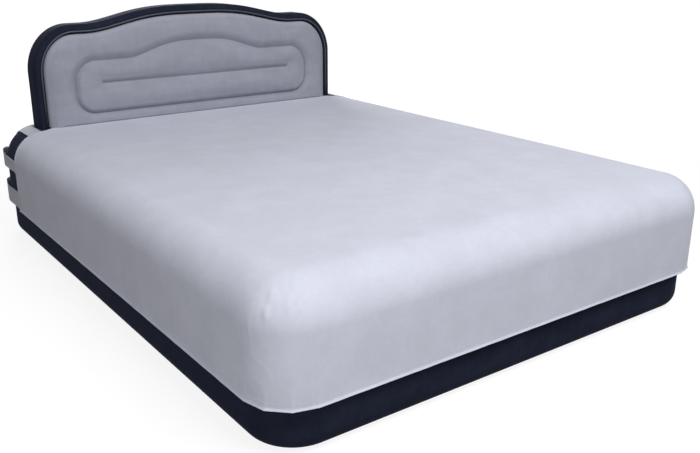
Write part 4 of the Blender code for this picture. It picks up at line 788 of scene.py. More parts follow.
def chamberWelds():
    outer = drawnIn(weldPlan, weldPlan[0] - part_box("mid_weld_flange")[1].x)
    inner = drawnIn(outer, weldBand["width"])
    weldFlange("mid_weld_flange", "middleWeld", planRing(outer, 0)[:, :2], planRing(inner, 0)[:, :2])
    low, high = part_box("headboard_foot_weld")
    halfWidth, halfDepth = (high.x - low.x) / 2, (high.y - low.y) / 2
    middle = (0.0, (low.y + high.y) / 2)
    radius = weldBand["footWidth"]
    outlines = [softRectangle(halfWidth - w, halfDepth - w, radius, 8, middle) for w in (0, radius)]
    weldFlange("headboard_foot_weld", "boardFootWeld", *outlines)


# Vinyl webs inside the chambers, with a welded hem along both edges
web = {"hole": (0.080, 0.030), "hemInset": 0.004, "hemHalf": 0.003, "hemProud": 0.0006, "wall": 0.0008}


# Hems run along the web's two edges on an axis: 1 is Y, 2 is Z
def hemmed(name, body, low, high, axis):
    low, high = Vector(low), Vector(high)
    grow = Vector((0, web["hemProud"], web["hemProud"]))
    pieces = [body]
    for level in (low[axis] + web["hemInset"], high[axis] - web["hemInset"]):
        near, far = low - grow, high + grow
        near[axis], far[axis] = level - web["hemHalf"], level + web["hemHalf"]
        pieces.append(cuboid(name + "Hem", near, far, innerVinyl))
    return joined(name, pieces)


# The beams have three long holes each
def innerBeam(node):
    low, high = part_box(node)
    halfLength, halfHeight = (high.x - low.x) / 2, (high.z - low.z) / 2
    middle = (low.z + high.z) / 2
    outlines = [softRectangle(halfLength, halfHeight, halfHeight / 2, 8, (0, middle))]
    length, height = web["hole"][0], min(web["hole"][1], halfHeight / 2)
    for x in (-2 * halfLength / 3, 0, 2 * halfLength / 3):
        outlines.append(softRectangle(length, height, height * 0.9, 8, (x, middle)))
    body = upright(node + "Web", outlines, low.y, high.y, innerVinyl)
    words = node.split("_")
    reach = halfLength - halfHeight / 2
    near, far = (-reach, low.y, low.z), (reach, high.y, high.z)
    rides(hemmed(words[0] + "Beam" + words[-1], body, near, far, 2), "inner_vinyl", node)


def innerBeams():
    for node in sorted(n for n in nodes if "beam" in n):
        innerBeam(node)


# The fitted sheet, laid out flat as a grid and folded down over foot end and sides.
# Creases run between two places of the flat layout, each with a width and a height.
sheetLow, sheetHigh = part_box("fitted_sheet")

sheet = {
    "corner": 0.114,
    "edge": 0.1095,
    "thickness": 0.0012,
    "cells": (0.0125, 0.020),
    "steps": (38, 16, 12),
    "hemRoll": 0.0034,
    "hemDepth": 0.0065,
    "facets": 3,
    "facetRise": 0.032,
    "soft": 0.0005,
    "pucker": 0.0006,
    "puckerRise": 0.030,
    "headHem": 0.012,
    "headHemRise": 0.0007,
    "tuck": 0.020,
    "tuckRise": 0.0022,
    "tuckReach": 0.640,
    "tuckFade": (0.05, 0.03),
    "pulls": (0.081, 0.133),
    "gathers": 0.0149,
    "elasticCell": 0.02,
    "elasticRibs": 15,
    "elastic": (-0.0003, -0.0021),
    "stitchRows": (0.0020, 0.0105),
    "headStitchRows": (0.0035, 0.0095),
    "stitchInset": (0.004, 0.003),
    "stitchSteps": (170, 200, 170, 260),
    "stitch": (0.0042, 0.0030),
    "creases": [
        ((-0.645, -0.922), (-0.690, -0.982), 0.0065, 0.0016),
        ((-0.630, -0.962), (-0.660, -1.005), 0.0070, 0.0014),
        ((-0.668, -0.992), (-0.716, -1.032), 0.0060, 0.0012),
        ((-0.700, -0.985), (-0.750, -1.030), 0.0070, 0.0014),
        ((-0.760, -0.970), (-0.795, -1.014), 0.0075, 0.0014),
        ((-0.722, -0.944), (-0.752, -0.984), 0.0070, 0.0013),
        ((-0.800, -0.930), (-0.850, -0.965), 0.0090, 0.0008),
        ((-0.411, -0.945), (-0.404, -1.015), 0.0125, 0.0014),
        ((-0.455, -0.960), (-0.440, -1.010), 0.0125, 0.0009),
        ((-0.395, -0.905), (-0.375, -0.945), 0.0125, 0.0008),
        ((-0.300, -0.940), (-0.265, -0.895), 0.0140, 0.0009),
        ((-0.150, -1.000), (-0.130, -1.080), 0.0150, 0.0008),
        ((0.120, -0.990), (0.160, -1.070), 0.0150, 0.0008),
        ((0.420, -1.010), (0.440, -1.120), 0.0150, 0.0009),
    ],
}

# The flat middle ends at coreX and coreY; then come the flat rim, the rounding and the drop
coreX, coreY = sheetHigh.x - sheet["corner"], sheetLow.y + sheet["corner"]
sheetFlat = sheet["corner"] - sheet["edge"]
sheetBend = sheet["edge"] * math.pi / 2
sheetWhole = sheetFlat + sheetBend + (sheetHigh.z - sheet["edge"] - sheetLow.z)


# The hem's plan is drawn into short straight runs at the foot corners, and what lies in it too
def faceted(places, share=1.0):
    places = np.array(places, float)
    dx = np.abs(places[..., 0]) - coreX
    dy = coreY - places[..., 1]
    step = math.pi / 2 / sheet["facets"]
    phi = np.arctan2(np.maximum(dy, 0), np.maximum(dx, 1e-9))
    facet = math.cos(step / 2) / np.cos(np.mod(phi, step) - step / 2)
    near = share * np.exp(-np.maximum(places[..., 2] - sheetLow.z, 0) / sheet["facetRise"])
    factor = np.where((dx > 0) & (dy > 0), 1 - near * (1 - facet), 1)
    places[..., 0] += np.sign(places[..., 0]) * np.maximum(dx, 0) * (factor - 1)
    places[..., 1] -= np.maximum(dy, 0) * (factor - 1)
    return places


# Distances out from the sheet's middle, closer over the rounding and at the rolled hem
def sheetSteps():
    stops = (0, sheetFlat + sheetBend, sheetWhole - sheet["hemDepth"] * 1.6, sheetWhole)
    runs = zip(stops, stops[1:], sheet["steps"])
    return np.concatenate([np.linspace(near, far, count + 1)[1:] for near, far, count in runs])


# Places and outward normals of the sheet for flat coordinates a and b, with the distance
# out from its middle, the distance along the hem, and whether it is in a corner
def sheetSurface(a, b):
    da = np.maximum(np.abs(a) - coreX, 0)
    db = np.maximum(coreY - b, 0)
    s = np.maximum(da, db)
    # the head edge runs on under the overhang of the headboard
    inward, aside = sheet["tuckFade"]
    near = np.clip((b - sheetHigh.y + inward) / inward, 0, 1) ** 2
    under = near * np.clip((sheet["tuckReach"] - np.abs(a)) / aside, 0, 1)
    ratio = np.minimum(da, db) / np.maximum(s, 1e-9)
    phi = np.where(da >= db, math.pi / 4 * ratio, math.pi / 2 - math.pi / 4 * ratio)
    alpha = np.clip((s - sheetFlat) / sheet["edge"], 0, math.pi / 2)
    reach = np.minimum(s, sheetFlat) + sheet["edge"] * np.sin(alpha)
    fall = sheet["edge"] * (1 - np.cos(alpha)) + np.maximum(s - sheetFlat - sheetBend, 0)
    outX = np.where(s > 0, np.cos(phi), 0) * np.sign(a)
    outY = -np.where(s > 0, np.sin(phi), 0)
    x = np.clip(a, -coreX, coreX) + outX * reach
    y = np.maximum(b, coreY) + outY * reach + under * sheet["tuck"]
    z = sheetHigh.z - fall + under * sheet["tuckRise"]
    places = faceted(np.stack([x, y, z], -1))
    normals = np.stack([outX * np.sin(alpha), outY * np.sin(alpha), np.cos(alpha)], -1)
    # the hem is measured from the left side's head edge
    side = sheetHigh.y - coreY
    turn = sheet["corner"] * math.pi / 2
    held = np.maximum(b, coreY)
    along = np.where(
        da >= db,
        np.where(a < 0, sheetHigh.y - held, side + 2 * turn + 2 * coreX + held - coreY),
        side + turn + coreX + np.clip(a, -coreX, coreX),
    )
    bent = sheet["corner"] * np.where(da >= db, phi, phi - math.pi / 2) * np.where(a < 0, 1, -1)
    inCorner = (da > 0) & (db > 0)
    return places, normals, s, along + np.where(inCorner, bent, 0), inCorner


# How far the cloth stands off its plain shape
def sheetRelief(a, b, s, along, inCorner):
    lift = np.zeros_like(a)
    for (startA, startB), (endA, endB), width, height in sheet["creases"]:
        runA, runB = endA - startA, endB - startB
        length = math.hypot(runA, runB)
        t = ((a - startA) * runA + (b - startB) * runB) / length**2
        away = np.abs((a - startA) * runB - (b - startB) * runA) / length
        taper = np.clip(np.sin(math.pi * np.clip(t, 0, 1)), 0, 1)
        ridge = np.exp(-((away / width) ** 2)) - 0.45 * np.exp(-(((away - 2 * width) / width) ** 2))
        lift += height * ridge * taper
    soft = 1.6 + np.sin(5.3 * a + 1.1) * np.sin(4.1 * b + 0.4)
    soft += 0.6 * np.sin(11.7 * a - 3.0 * b) * np.sin(9.3 * b + 2.0)
    lift += sheet["soft"] * soft * np.clip(1 - s / sheetWhole, 0, 1)
    # faint lines of pull run up from the hem, closer and deeper at the corners
    near = np.exp(-(sheetWhole - s) / sheet["puckerRise"])
    turns = along * 2 * math.pi
    first, second = sheet["pulls"]
    pulls = np.sin(turns / first) + np.sin(turns / second + 1.7)
    gathers = np.where(inCorner, np.sin(turns / sheet["gathers"]) * 0.3, 0)
    lift += sheet["pucker"] * near * (pulls * 0.3 + gathers)
    roll = np.clip((s - sheetWhole + sheet["hemDepth"]) / sheet["hemDepth"], 0, 1)
    lift += sheet["hemRoll"] * roll**1.3
    edge = np.clip((b - sheetHigh.y + sheet["headHem"]) / 0.002, 0, 1)
    return lift + sheet["headHemRise"] * edge * edge * (3 - 2 * edge)


def sheetLine(a, b, lift):
    places, normals, s, along, inCorner = sheetSurface(a, b)
    return places + normals * (sheetRelief(a, b, s, along, inCorner) + lift)[..., None]


def fittedSheet():
    steps = sheetSteps()
    narrow, wide = sheet["cells"]
    hemStart = sheetHigh.y - sheet["headHem"]
    across = np.linspace(-coreX, coreX, round(2 * coreX / narrow))
    headward = np.linspace(coreY, hemStart, round((sheetHigh.y - coreY) / wide))
    hemward = hemStart + np.array([0.001, 0.002, 0.006, 0.0115, 0.012])
    a = np.concatenate([-coreX - steps[::-1], across, coreX + steps])
    b = np.concatenate([coreY - steps[::-1], headward, hemward])
    gridA, gridB = np.meshgrid(a, b)
    lay = np.stack([gridA, gridB], -1).reshape(-1, 2)
    piece = skinned("fittedSheet", sheetLine(gridA, gridB, 0.0), sheetCloth, closed=False, lay=lay)
    thickened(piece, sheet["thickness"])
    piece.data.shade_smooth()
    rides(piece, "sheet_cloth", "fitted_sheet")
    stitches = sheetStitches()
    tape = hemElastic()


# Rows of stitches, with the pitch and the length of one stitch
def stitched(name, rows, slot, pitch, length):
    return rides(alongLines(name, rows, sewingThread, "stitch", pitch, length, 0.0007, 0.0006), slot)


# Rows of thread along the lower hem and the head edge
def sheetStitches():
    rows = []
    short, inside = sheet["stitchInset"]
    *counts, headCount = sheet["stitchSteps"]
    for inset in sheet["stitchRows"]:
        reach = sheetWhole - (sheet["hemDepth"] + inset)
        side, foot, head = coreX + reach, coreY - reach, sheetHigh.y - short
        turns = [(-side, head), (-side, foot), (side, foot), (side, head)]
        runs = [np.linspace(*ends, count)[1:] for *ends, count in zip(turns, turns[1:], counts)]
        rows.append(np.concatenate([turns[:1], *runs]))
    for inset in sheet["headStitchRows"]:
        reach = coreX + sheetWhole - sheet["hemDepth"] - inside
        rows.append(np.linspace((-reach, sheetHigh.y - inset), (reach, sheetHigh.y - inset), headCount))
    rows = [sheetLine(*row.T, 0.0002) for row in rows]
    return stitched("sheetStitches", rows, "sheet_cloth", *sheet["stitch"])


# A line round sides and foot end, open at the head, and the way outwards
def openRing(halfWidth, foot, radius, headEdge, height):
    reach = halfWidth - radius
    side = np.linspace(headEdge, radius - foot, round((headEdge + foot) / sheet["elasticCell"]))
    across = np.linspace(-reach, reach, round(2 * halfWidth / sheet["elasticCell"]))
    rows = [(-halfWidth, y, math.pi) for y in side]
    for t in quarter(16)[1:-1]:
        rows.append((-reach - radius * math.cos(t), radius - foot - radius * math.sin(t), math.pi + t))
    rows += [(x, -foot, 1.5 * math.pi) for x in across]
    for t in quarter(16)[1:-1]:
        rows.append((reach + radius * math.sin(t), radius - foot - radius * math.cos(t), 1.5 * math.pi + t))
    rows += [(halfWidth, y, 2 * math.pi) for y in side[::-1]]
    return ribbonPath(rows, height)


# Ribbed elastic sewn inside the lower hem
def hemElastic():
    low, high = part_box("sheet_hem_elastic")
    radius = sheet["corner"] - high.x + mattressHigh.x
    path, outward = openRing(high.x - 0.0004, -low.y - 0.0004, radius, high.y, (low.z + high.z) / 2)
    half = (high.z - low.z) / 2
    ribDepth, back = sheet["elastic"]
    levels = np.linspace(-half, half, sheet["elasticRibs"])
    front = np.stack([levels, ribDepth * (np.arange(len(levels)) % 2)], 1)
    section = np.concatenate([front, [[half, back], [-half, back]]])
    tape = tube("sheetHem", faceted(path), section, outward, elasticTape, lay=True)
    return rides(tape, "hem_elastic", "sheet_hem_elastic")


# Headboard outlines seen from the front
boardLow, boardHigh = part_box("headboard_shell")
panelLow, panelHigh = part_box("headboard_panel")

board = {
    "footRadius": 0.008,
    "spring": 0.600,
    "shoulder": 0.772,
    "rise": 0.053,
    "halfSpan": 0.445,
    "corner": 0.154,
    "humpPower": 1.6,
    "footShare": 0.2,
    "rim": 0.034,
    "valley": 0.012,
    "frontRounding": 0.018,
    "backRounding": 0.028,
    "crownWidth": 0.056,
    "panelFootLift": 0.004,
    "panelFootSag": 0.0055,
    "sagHeight": 0.022,
    "wall": 0.0006,
    "seat": 0.0003,
    "backDip": 0.006,
    "backWeld": 0.022,
    "backGroove": ((0.0018, 1), (0.010, 0.45), (0.024, 0.08)),  # half height, share of the dip
    "steps": (40, 7, 26, 56),
}

# The raised field: its outline in the order of the board's, how it is quilted, its darker welds, and the
# painted shade and painted highlight on the panel
field = {
    "outline": (0.505, 0.443, 0.070, 0.552, 0.640, 0.053, 0.300, 0.080),
    "valley": 0.017,
    "slope": 0.031,
    "slopeFoot": 0.45,
    "edge": 0.019,
    "grooveReach": 0.410,
    "grooveHeight": 0.557,
    "grooveHalf": 0.009,
    "grooveDepth": 0.009,
    "puff": 0.0045,
    "cap": 0.005,
    "frames": 20,
    "evenings": 7,
    "worn": 0.70,
    # painted shade in the crease under the field
    "dustAndShade": 0.45,
    # painted highlight along the panel's outer edge, over its first rows
    "rubbed": 0.8,
    "edgeHighlightRows": 7,
}

# What the cloth of the panel is made of while air swells it
air = {
    "vertex_group_mass": "weld",
    "pin_stiffness": 1.0,
    "use_pressure": True,
    "uniform_pressure_force": 4.0,
    "quality": 6,
    "tension_stiffness": 40.0,
    "compression_stiffness": 40.0,
    "shear_stiffness": 20.0,
    "bending_stiffness": 1.5,
}

boardShape = ("footRadius", "spring", "shoulder", "rise", "halfSpan", "corner")
boardOutline = np.array([boardHigh.x, boardLow.z, *[board[k] for k in boardShape]])
fieldOutline = np.array(field["outline"])


def outlineIn(outline, amount, footShare=1.0):
    made = outline + amount * np.array([-1, footShare, 0, 0, -1, 0, 0, -1])
    made[2] = max(outline[2] - amount, outline[2] * 0.1)
    return made


def grooveOutline(half):
    reach = field["grooveReach"] - field["grooveHalf"] + half
    middle = field["grooveHeight"]
    shape = (half, middle + 0.3 * half, middle + half, 0, field["outline"][6], half)
    return np.array([reach, middle - half, *shape])


# Counterclockwise seen from the front, from the foot's middle
def outlinePoints(outline):
    halfWidth, foot, footRadius, spring, shoulder, rise, halfSpan, corner = outline
    footSteps, turnSteps, cornerSteps, humpSteps = board["steps"]
    footEnd = halfWidth - footRadius
    right = [(footEnd * i / footSteps, foot) for i in range(footSteps)]
    for t in quarter(turnSteps):
        right.append((footEnd + footRadius * math.sin(t), foot + footRadius - footRadius * math.cos(t)))
    reach = halfWidth - corner
    for t in quarter(cornerSteps):
        right.append((reach + corner * math.cos(t), spring + (shoulder - spring) * math.sin(t)))
    for i in range(1, humpSteps):
        x = reach * (1 - i / humpSteps)
        share = min(x / halfSpan, 1)
        right.append((x, shoulder + rise * (1 + math.cos(math.pi * share ** board["humpPower"])) / 2))
    left = [(-x, z) for x, z in reversed(right[1:])]
    return np.array(right + [(0, shoulder + rise)] + left)


def atDepth(points, y):
    return np.stack([points[:, 0], np.full(len(points), y), points[:, 1]], 1)


def outlineRing(outline, y):
    return atDepth(outlinePoints(outline), y)


# Rings from one outline to the next, at the depth that belongs to their share of the way
def between(first, second, steps, depth):
    turns = [k / steps for k in range(1, steps + 1)]
    return [outlineRing(blended(first, second, turn), depth(turn)) for turn in turns]


# Back, sides and rim in one skin. The ties inside draw shallow lines into the back.
def headboardBody():
    back, front, dip = boardHigh.y, boardLow.y, board["backDip"]
    inner = outlineIn(fieldOutline, board["backWeld"])
    outer = outlineIn(fieldOutline, -board["backWeld"], field["slopeFoot"])
    edge = outlineIn(boardOutline, board["backRounding"], board["footShare"])
    rings = [outlineRing(grooveOutline(half), back - dip * share) for half, share in board["backGroove"]]
    rings += between(grooveOutline(board["backGroove"][-1][0]), inner, 6, lambda turn: back)
    rings += between(inner, outer, 10, lambda turn: back - dip * math.exp(-(((turn - 0.5) / 0.16) ** 2)))
    rings += between(outer, edge, 6, lambda turn: back)[:-1]
    # then pairs of inset and depth, over the back's rounding to the weld with the panel
    behind, before, rim = board["backRounding"], board["frontRounding"], board["rim"]
    start, end = back - behind, front + before
    turned = [(behind * (1 - math.sin(t)), back - behind * (1 - math.cos(t))) for t in quarter(12)]
    turned += [(0, start + (end - start) * k / 8) for k in range(1, 8)]
    turned += [(before * (1 - math.cos(t)), front + before * (1 - math.sin(t))) for t in quarter(10)]
    for t in quarter(9)[1:]:
        turned.append((before + (rim - before) * math.sin(t), front + board["valley"] * (1 - math.cos(t))))
    rings += [outlineRing(outlineIn(boardOutline, inset, board["footShare"]), y) for inset, y in turned]
    piece = skinned("headboardBody", rings, navyFlock, True, True)
    thickened(piece, board["wall"])
    rides(creased(piece), "navy_vinyl", "headboard_shell")


# The panel's rings, and which of them are welds
def panelRings():
    edge = outlineIn(boardOutline, board["rim"] + board["seat"], board["footShare"])
    weldY, frontY = boardLow.y + board["valley"], panelLow.y
    lift, sag = board["panelFootLift"] / board["crownWidth"], board["sagHeight"]
    rings = []
    for t in quarter(13):
        outline = outlineIn(edge, board["crownWidth"] * (1 - math.cos(t)), lift)
        ring = outlineRing(outline, weldY + (frontY - weldY) * math.sin(t))
        low = np.clip((edge[1] + sag - ring[:, 2]) / sag, 0, 1)
        ring[:, 2] -= board["panelFootSag"] * math.sin(2 * t) * low
        rings.append(ring)
    crown = outlineIn(edge, board["crownWidth"], lift)
    outer = outlineIn(fieldOutline, -field["slope"], field["slopeFoot"])
    plateau = outlineIn(fieldOutline, field["edge"])
    groove, bottom = [grooveOutline(field["grooveHalf"] * share) for share in (2.2, 0.2)]
    valley, deep, right = field["valley"], field["grooveDepth"], math.pi / 2
    rings += between(crown, outer, 4, lambda turn: frontY)
    rings += between(outer, fieldOutline, 7, lambda turn: frontY + valley * turn**1.6)
    welds = [0, len(rings) - 1]
    rings += between(fieldOutline, plateau, 6, lambda turn: frontY + valley * (1 - math.sin(right * turn)))
    rings += between(plateau, groove, 12, lambda turn: frontY - field["puff"] * math.sin(math.pi * turn))
    rings += between(groove, bottom, 7, lambda turn: frontY + deep * (1 - math.cos(right * turn)) ** 1.3)
    return np.array(rings), [*welds, len(rings) - 1]


# The puffed front: its welds hold while air pressure swells the cloth between them
def headboardPanel():
    rings, welds = panelRings()
    around = rings.shape[1]
    piece = skinned("headboardPanel", rings, greyFlock)
    points = rings.reshape(-1, 3)
    held = [row * around + k for row in welds for k in range(around)]
    row = np.arange(len(points)) // around
    pressed, rubbed = np.zeros((2, len(points)))
    pressed[held[around:]] = field["worn"]
    # painted shade in the crease under the field, darker lower down
    crease = (row > welds[1]) & (row <= welds[1] + 2)
    foot, radius = field["outline"][1:3]
    pressed[crease] = field["dustAndShade"] * np.clip((foot + radius - points[crease, 2]) / radius, 0, 1)
    # a painted highlight along the panel's outer edge, fading inwards
    edge = (row > 0) & (row < field["edgeHighlightRows"])
    rubbed[edge] = field["rubbed"] * (1 - row[edge] / field["edgeHighlightRows"])
    for name, values in (("pressed", pressed), ("rubbed", rubbed)):
        mark = piece.data.attributes.new(name, "FLOAT", "POINT")
        mark.data.foreach_set("value", values.astype(np.float32))
    inflated(piece, points, held)
    refined = piece.modifiers.new("finer", "SUBSURF")
    refined.levels = refined.render_levels = 1
    plain(piece)
    filledGroove(piece.data)
    thickened(piece, board["wall"])
    rides(creased(piece, 60), "grey_flock", "headboard_panel")


# Closes the slit along the bottom of the groove
def filledGroove(mesh):
    half = field["grooveHalf"]

    def inside(co):
        return abs(co.z - field["grooveHeight"]) < half and abs(co.x) < field["grooveReach"] + half

    bm = bmesh.new()
    bm.from_mesh(mesh)
    slit = [edge for edge in bm.edges if edge.is_boundary and all(inside(v.co) for v in edge.verts)]
    bmesh.ops.holes_fill(bm, edges=slit, sides=0)
    bm.to_mesh(mesh)
    bm.free()


def inflated(piece, points, held):
    piece.vertex_groups.new(name=air["vertex_group_mass"]).add(held, 1.0, "REPLACE")
    cloth = piece.modifiers.new("air", "CLOTH")
    for key, value in air.items():
        setattr(cloth.settings, key, value)
    cloth.settings.effector_weights.gravity = 0.0
    cloth.point_cache.frame_start = 1
    cloth.point_cache.frame_end = field["frames"]
    scene = bpy.context.scene
    for step in range(1, field["frames"] + 1):
        scene.frame_set(step)
    graph = bpy.context.evaluated_depsgraph_get()
    blown = piece.evaluated_get(graph).to_mesh()
    after = np.zeros(len(points) * 3)
    blown.vertices.foreach_get("co", after)
    piece.evaluated_get(graph).to_mesh_clear()
    move = after.reshape(-1, 3) - points
    length = np.linalg.norm(move, axis=1, keepdims=True)
    move *= np.minimum(1, field["cap"] / np.maximum(length, 1e-9))
    rows = move.reshape(-1, len(held) // 3, 3)
    for _ in range(field["evenings"]):
        rows[1:-1] = rows[1:-1] / 2 + (rows[:-2] + rows[2:]) / 4
        rows[:] = rows / 2 + (np.roll(rows, 1, 1) + np.roll(rows, -1, 1)) / 4
        move[held] = 0
    piece.modifiers.clear()
    piece.vertex_groups.clear()
    piece.data.vertices.foreach_set("co", (points + move).ravel())
    piece.data.update()
    scene.frame_set(1)
    print("headboard panel inflated: largest move %.1f mm" % (1000 * length.max()))


# The points of an outline without a number of steps at either side of the foot's middle
def footless(points, steps):
    return points[steps : len(points) - steps + 1]


# The bead follows the rim and ends on the foot weld
def headboardPiping():
    low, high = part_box("headboard_piping")
    radius = (high.y - low.y) / 2
    path = outlinePoints(outlineIn(boardOutline, boardHigh.x - high.x + radius, board["footShare"]))
    path = footless(path, sum(board["steps"][:2]))
    path[0, 1] = path[-1, 1] = low.z
    path = atDepth(path, (low.y + high.y) / 2)
    bead = tube("headboardPiping", path, circlePoints(radius, 14), (0, -1, 0), beadVinyl)
    rides(bead, "piping", "headboard_piping")


# Ties inside the headboard, from the panel's lines to the back
def headboardTies():
    skinRoom = board["wall"] + 0.0006
    behind = boardHigh.y - board["backDip"] - skinRoom
    low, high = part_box("headboard_groove_tie")
    low.y = max(low.y, panelLow.y + field["grooveDepth"] + skinRoom)
    high.y = min(high.y, behind)
    body = cuboid("grooveTieWeb", low, high, innerVinyl)
    rides(hemmed("grooveTie", body, low, high, 1), "inner_vinyl", "headboard_groove_tie")
    low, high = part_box("headboard_field_tie")
    path = footless(outlinePoints(fieldOutline), board["steps"][0])
    front = max(low.y, panelLow.y + field["valley"] + skinRoom)
    rings = [atDepth(path, y) for y in np.linspace(min(high.y, behind), front, 9)]
    band = skinned("fieldTie", rings, innerVinyl, closed=False)
    rides(thickened(band, web["wall"]), "inner_vinyl", "headboard_field_tie")


# Straps hold the sheet round the head corners
strap = {
    "thickness": 0.0014,
    "radius": 0.114,
    "lap": (0.015, 0.008, 0.001),
    "hem": 0.005,
    "plump": 0.35,
    "stitchInset": 0.0038,
    "stitch": (0.0040, 0.0028),
    "clear": 0.0012,
    "standoff": 0.0018,
    "topInner": 0.655,
    "topWidth": 0.045,
    "loopAngle": 32.0,
    "loopWidth": 0.024,
    "loopWall": 0.0022,
    "loopRoom": 0.0012,
    "loopChamfer": 0.008,
    "loopRise": 0.024,
    "loopDrop": 0.009,
}
strapEdge = sheetHigh.y
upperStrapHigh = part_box("strap_upper_left")[1]
strapCentre = (sheetHigh.x - strap["radius"], upperStrapHigh.y - strap["radius"])


# From its lap on the sheet's side edge, round the head corner, to its patch
def sideStrapPath(side, height):
    inner = strap["radius"] - strap["thickness"]
    x, y = strapCentre
    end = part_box("strap_upper_right")[0].x
    rows = [(sheetHigh.x + strap["clear"], strapEdge - back, 0) for back in strap["lap"]]
    rows.append((sheetHigh.x - 0.0006, strapEdge + 0.007, 0))
    rows += [(x + inner, at, 0) for at in np.linspace(strapEdge + 0.014, y - 0.008, 7)]
    rows += [(x + inner * math.cos(t), y + inner * math.sin(t), t) for t in quarter(20)]
    rows += [(at, y + inner, math.pi / 2) for at in np.linspace(x - 0.012, end, 14)]
    return ribbonPath(rows, height, side)


def sideStrap(level, side, word):
    node = "strap_%s_%s" % (level, word)
    name = level + "Strap" + word.capitalize()
    low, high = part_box(node)
    width = high.z - low.z
    path, outward = sideStrapPath(side, (low.z + high.z) / 2)
    section = bandSection(width, strap["thickness"], strap["hem"], strap["plump"])
    band = tube(name, path, section, outward, strapCloth, lay=True)
    rides(band, "strap_webbing", node)
    reach = width / 2 - strap["stitchInset"]
    surface = strap["thickness"] * (1 + strap["plump"]) + 0.0001
    rows = carried(path, [(reach, surface), (-reach, surface)], outward)
    seam = [rows[2:, 0], rows[2:, 1], *[np.linspace(*rows[start], 24) for start in (0, 1)]]
    thread = stitched(name + "Seams", seam, "strap_webbing", *strap["stitch"])


# The sheet's outer height near its head edge, and a little room
def sheetAt(x):
    past = max(x - coreX - sheetFlat, 0)
    return sheetHigh.z - sheet["edge"] + math.sqrt(sheet["edge"] ** 2 - past**2) + strap["clear"]


# A line of the strap over the top corner, at a distance from the bed's middle. It lies on the
# sheet's edge, follows the mattress over its rounding, then spans free to the upper strap.
def topStrapLine(x):
    start = math.acos(max(1 - max(mattressPlan[0] - x, 0) / chamber["edge"], 0))
    lying = []
    for k in range(19):
        angle = start * (1 - (k / 18) ** 2)
        (halfWidth, _, head, _, radius), height = mattressRounding(angle)
        aside = min(max(x - (halfWidth - radius), 0), radius)
        y = head - radius + math.sqrt(radius * radius - aside * aside)
        lying.append((y + strap["standoff"] * math.cos(angle), height + strap["standoff"] * math.sin(angle)))
    reach = strap["radius"] - strap["thickness"]
    aside = min(max(x - strapCentre[0], 0), reach)
    seamY = strapCentre[1] + math.sqrt(reach * reach - aside * aside)
    lying, seam = np.array(lying), np.array([seamY, upperStrapHigh.z + board["seat"]])
    toSeam = seam - lying
    last = int(np.argmin(np.abs(np.arctan2(toSeam[:, 1], toSeam[:, 0]))))
    rows = [(strapEdge - back, sheetAt(x)) for back in strap["lap"]]
    rows += [(y, lying[0][1]) for y in np.linspace(strapEdge + 0.006, lying[0][0], 9)[:-1]]
    return np.array([*rows, *lying[: last + 1], *np.linspace(lying[last], seam, 9)[1:]])


# The same line with its points evenly spaced
def evenly(line, count):
    steps = np.concatenate([[0], np.cumsum(np.linalg.norm(np.diff(line, axis=0), axis=1))])
    at = np.linspace(0, steps[-1], count)
    return np.stack([np.interp(at, steps, line[:, k]) for k in range(line.shape[1])], 1)


def topStrap(side, word):
    columns = []
    for x in strap["topInner"] + strap["topWidth"] * np.linspace(0, 1, 13):
        line = evenly(topStrapLine(x), 34)
        columns.append(np.column_stack([np.full(len(line), side * x), line]))
    columns = np.array(columns[::-1] if side > 0 else columns)
    name = "topStrap" + word.capitalize()
    band = skinned(name, columns, strapCloth, closed=False, lay=flatLay(columns))
    thickened(band, strap["thickness"], outward=True)
    rides(creased(band, 50), "strap_webbing", "strap_top_" + word)
    seam = (columns[1], columns[-2], columns[:, 1], columns[:, 3])
    seam = [line + np.array([0, 0.0012, 0.0014]) for line in seam]
    thread = stitched(name + "Seams", seam, "strap_webbing", *strap["stitch"])


# Loops welded on the head corners: each strap threads one, and its tab rises above the strap
def strapLoop(level, side, word):
    node = "strap_loop_%s_%s" % (level, word)
    angle = math.radians(strap["loopAngle"])
    way = np.array([side * math.cos(angle), math.sin(angle)])
    middle = np.array([side * strapCentre[0], strapCentre[1]])
    points = np.array([v.co[:] for v in nodes[node].data.vertices])
    reach = (points[:, :2] - middle) @ way
    back, front = reach.min(), reach.max()
    low, top = points[:, 2].min(), points[:, 2].max()
    wall, chamfer = strap["loopWall"], strap["loopChamfer"]
    high = top - strap["loopDrop"]
    sill = top - strap["loopRise"] + strap["loopRoom"]
    inner, outer, base = back + wall, front - wall, low + wall
    lower = arc((outer, base), wall, quarter(7)[1:] - math.pi / 2)
    upper = arc((front - chamfer, high - chamfer), chamfer, quarter(7))
    profile = [(back, low), (outer, low), *lower, *upper, (back, high)]
    window = [(inner, base), (outer, base), (outer, sill), (inner, sill)]
    place = Matrix.Translation((*middle, 0))
    place @= Matrix.Rotation(angle if side > 0 else math.pi - angle, 4, "Z")
    place @= Matrix.Rotation(math.pi / 2, 4, "X")
    name = level + "Loop" + word.capitalize()
    loop = plate(name, [profile, window], strap["loopWidth"], place, navyVinyl, 0.0006, 2)
    rides(loop, "navy_vinyl", node)


# Hook tape pads on the head wall take the straps' ends
patch = {"corner": 0.008, "pitch": 0.0030, "hook": (0.0007, 0.0005)}


def hookPatch(word):
    node = "strap_patch_" + word
    name = "hookPatch" + word.capitalize()
    low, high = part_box(node)
    middle = ((low.x + high.x) / 2, (low.z + high.z) / 2)
    outline = softRectangle((high.x - low.x) / 2, (high.z - low.z) / 2, patch["corner"], 10, middle)
    width, height = patch["hook"]
    ground, inset = high.y - height, patch["corner"] * 0.5
    pad = upright(name + "Ground", [outline], low.y, ground, hookTape, 0.0004, 2)
    levels = np.arange(low.z + inset, high.z - inset, patch["pitch"])
    rows = [np.array([(low.x + inset, ground, z), (high.x - inset, ground, z)]) for z in levels]
    hooks = alongLines(name + "Hooks", rows, hookTape, "bar", patch["pitch"], width, width, height * 2)
    rides(joined(name, [pad, hooks]), "hook_patch", node)


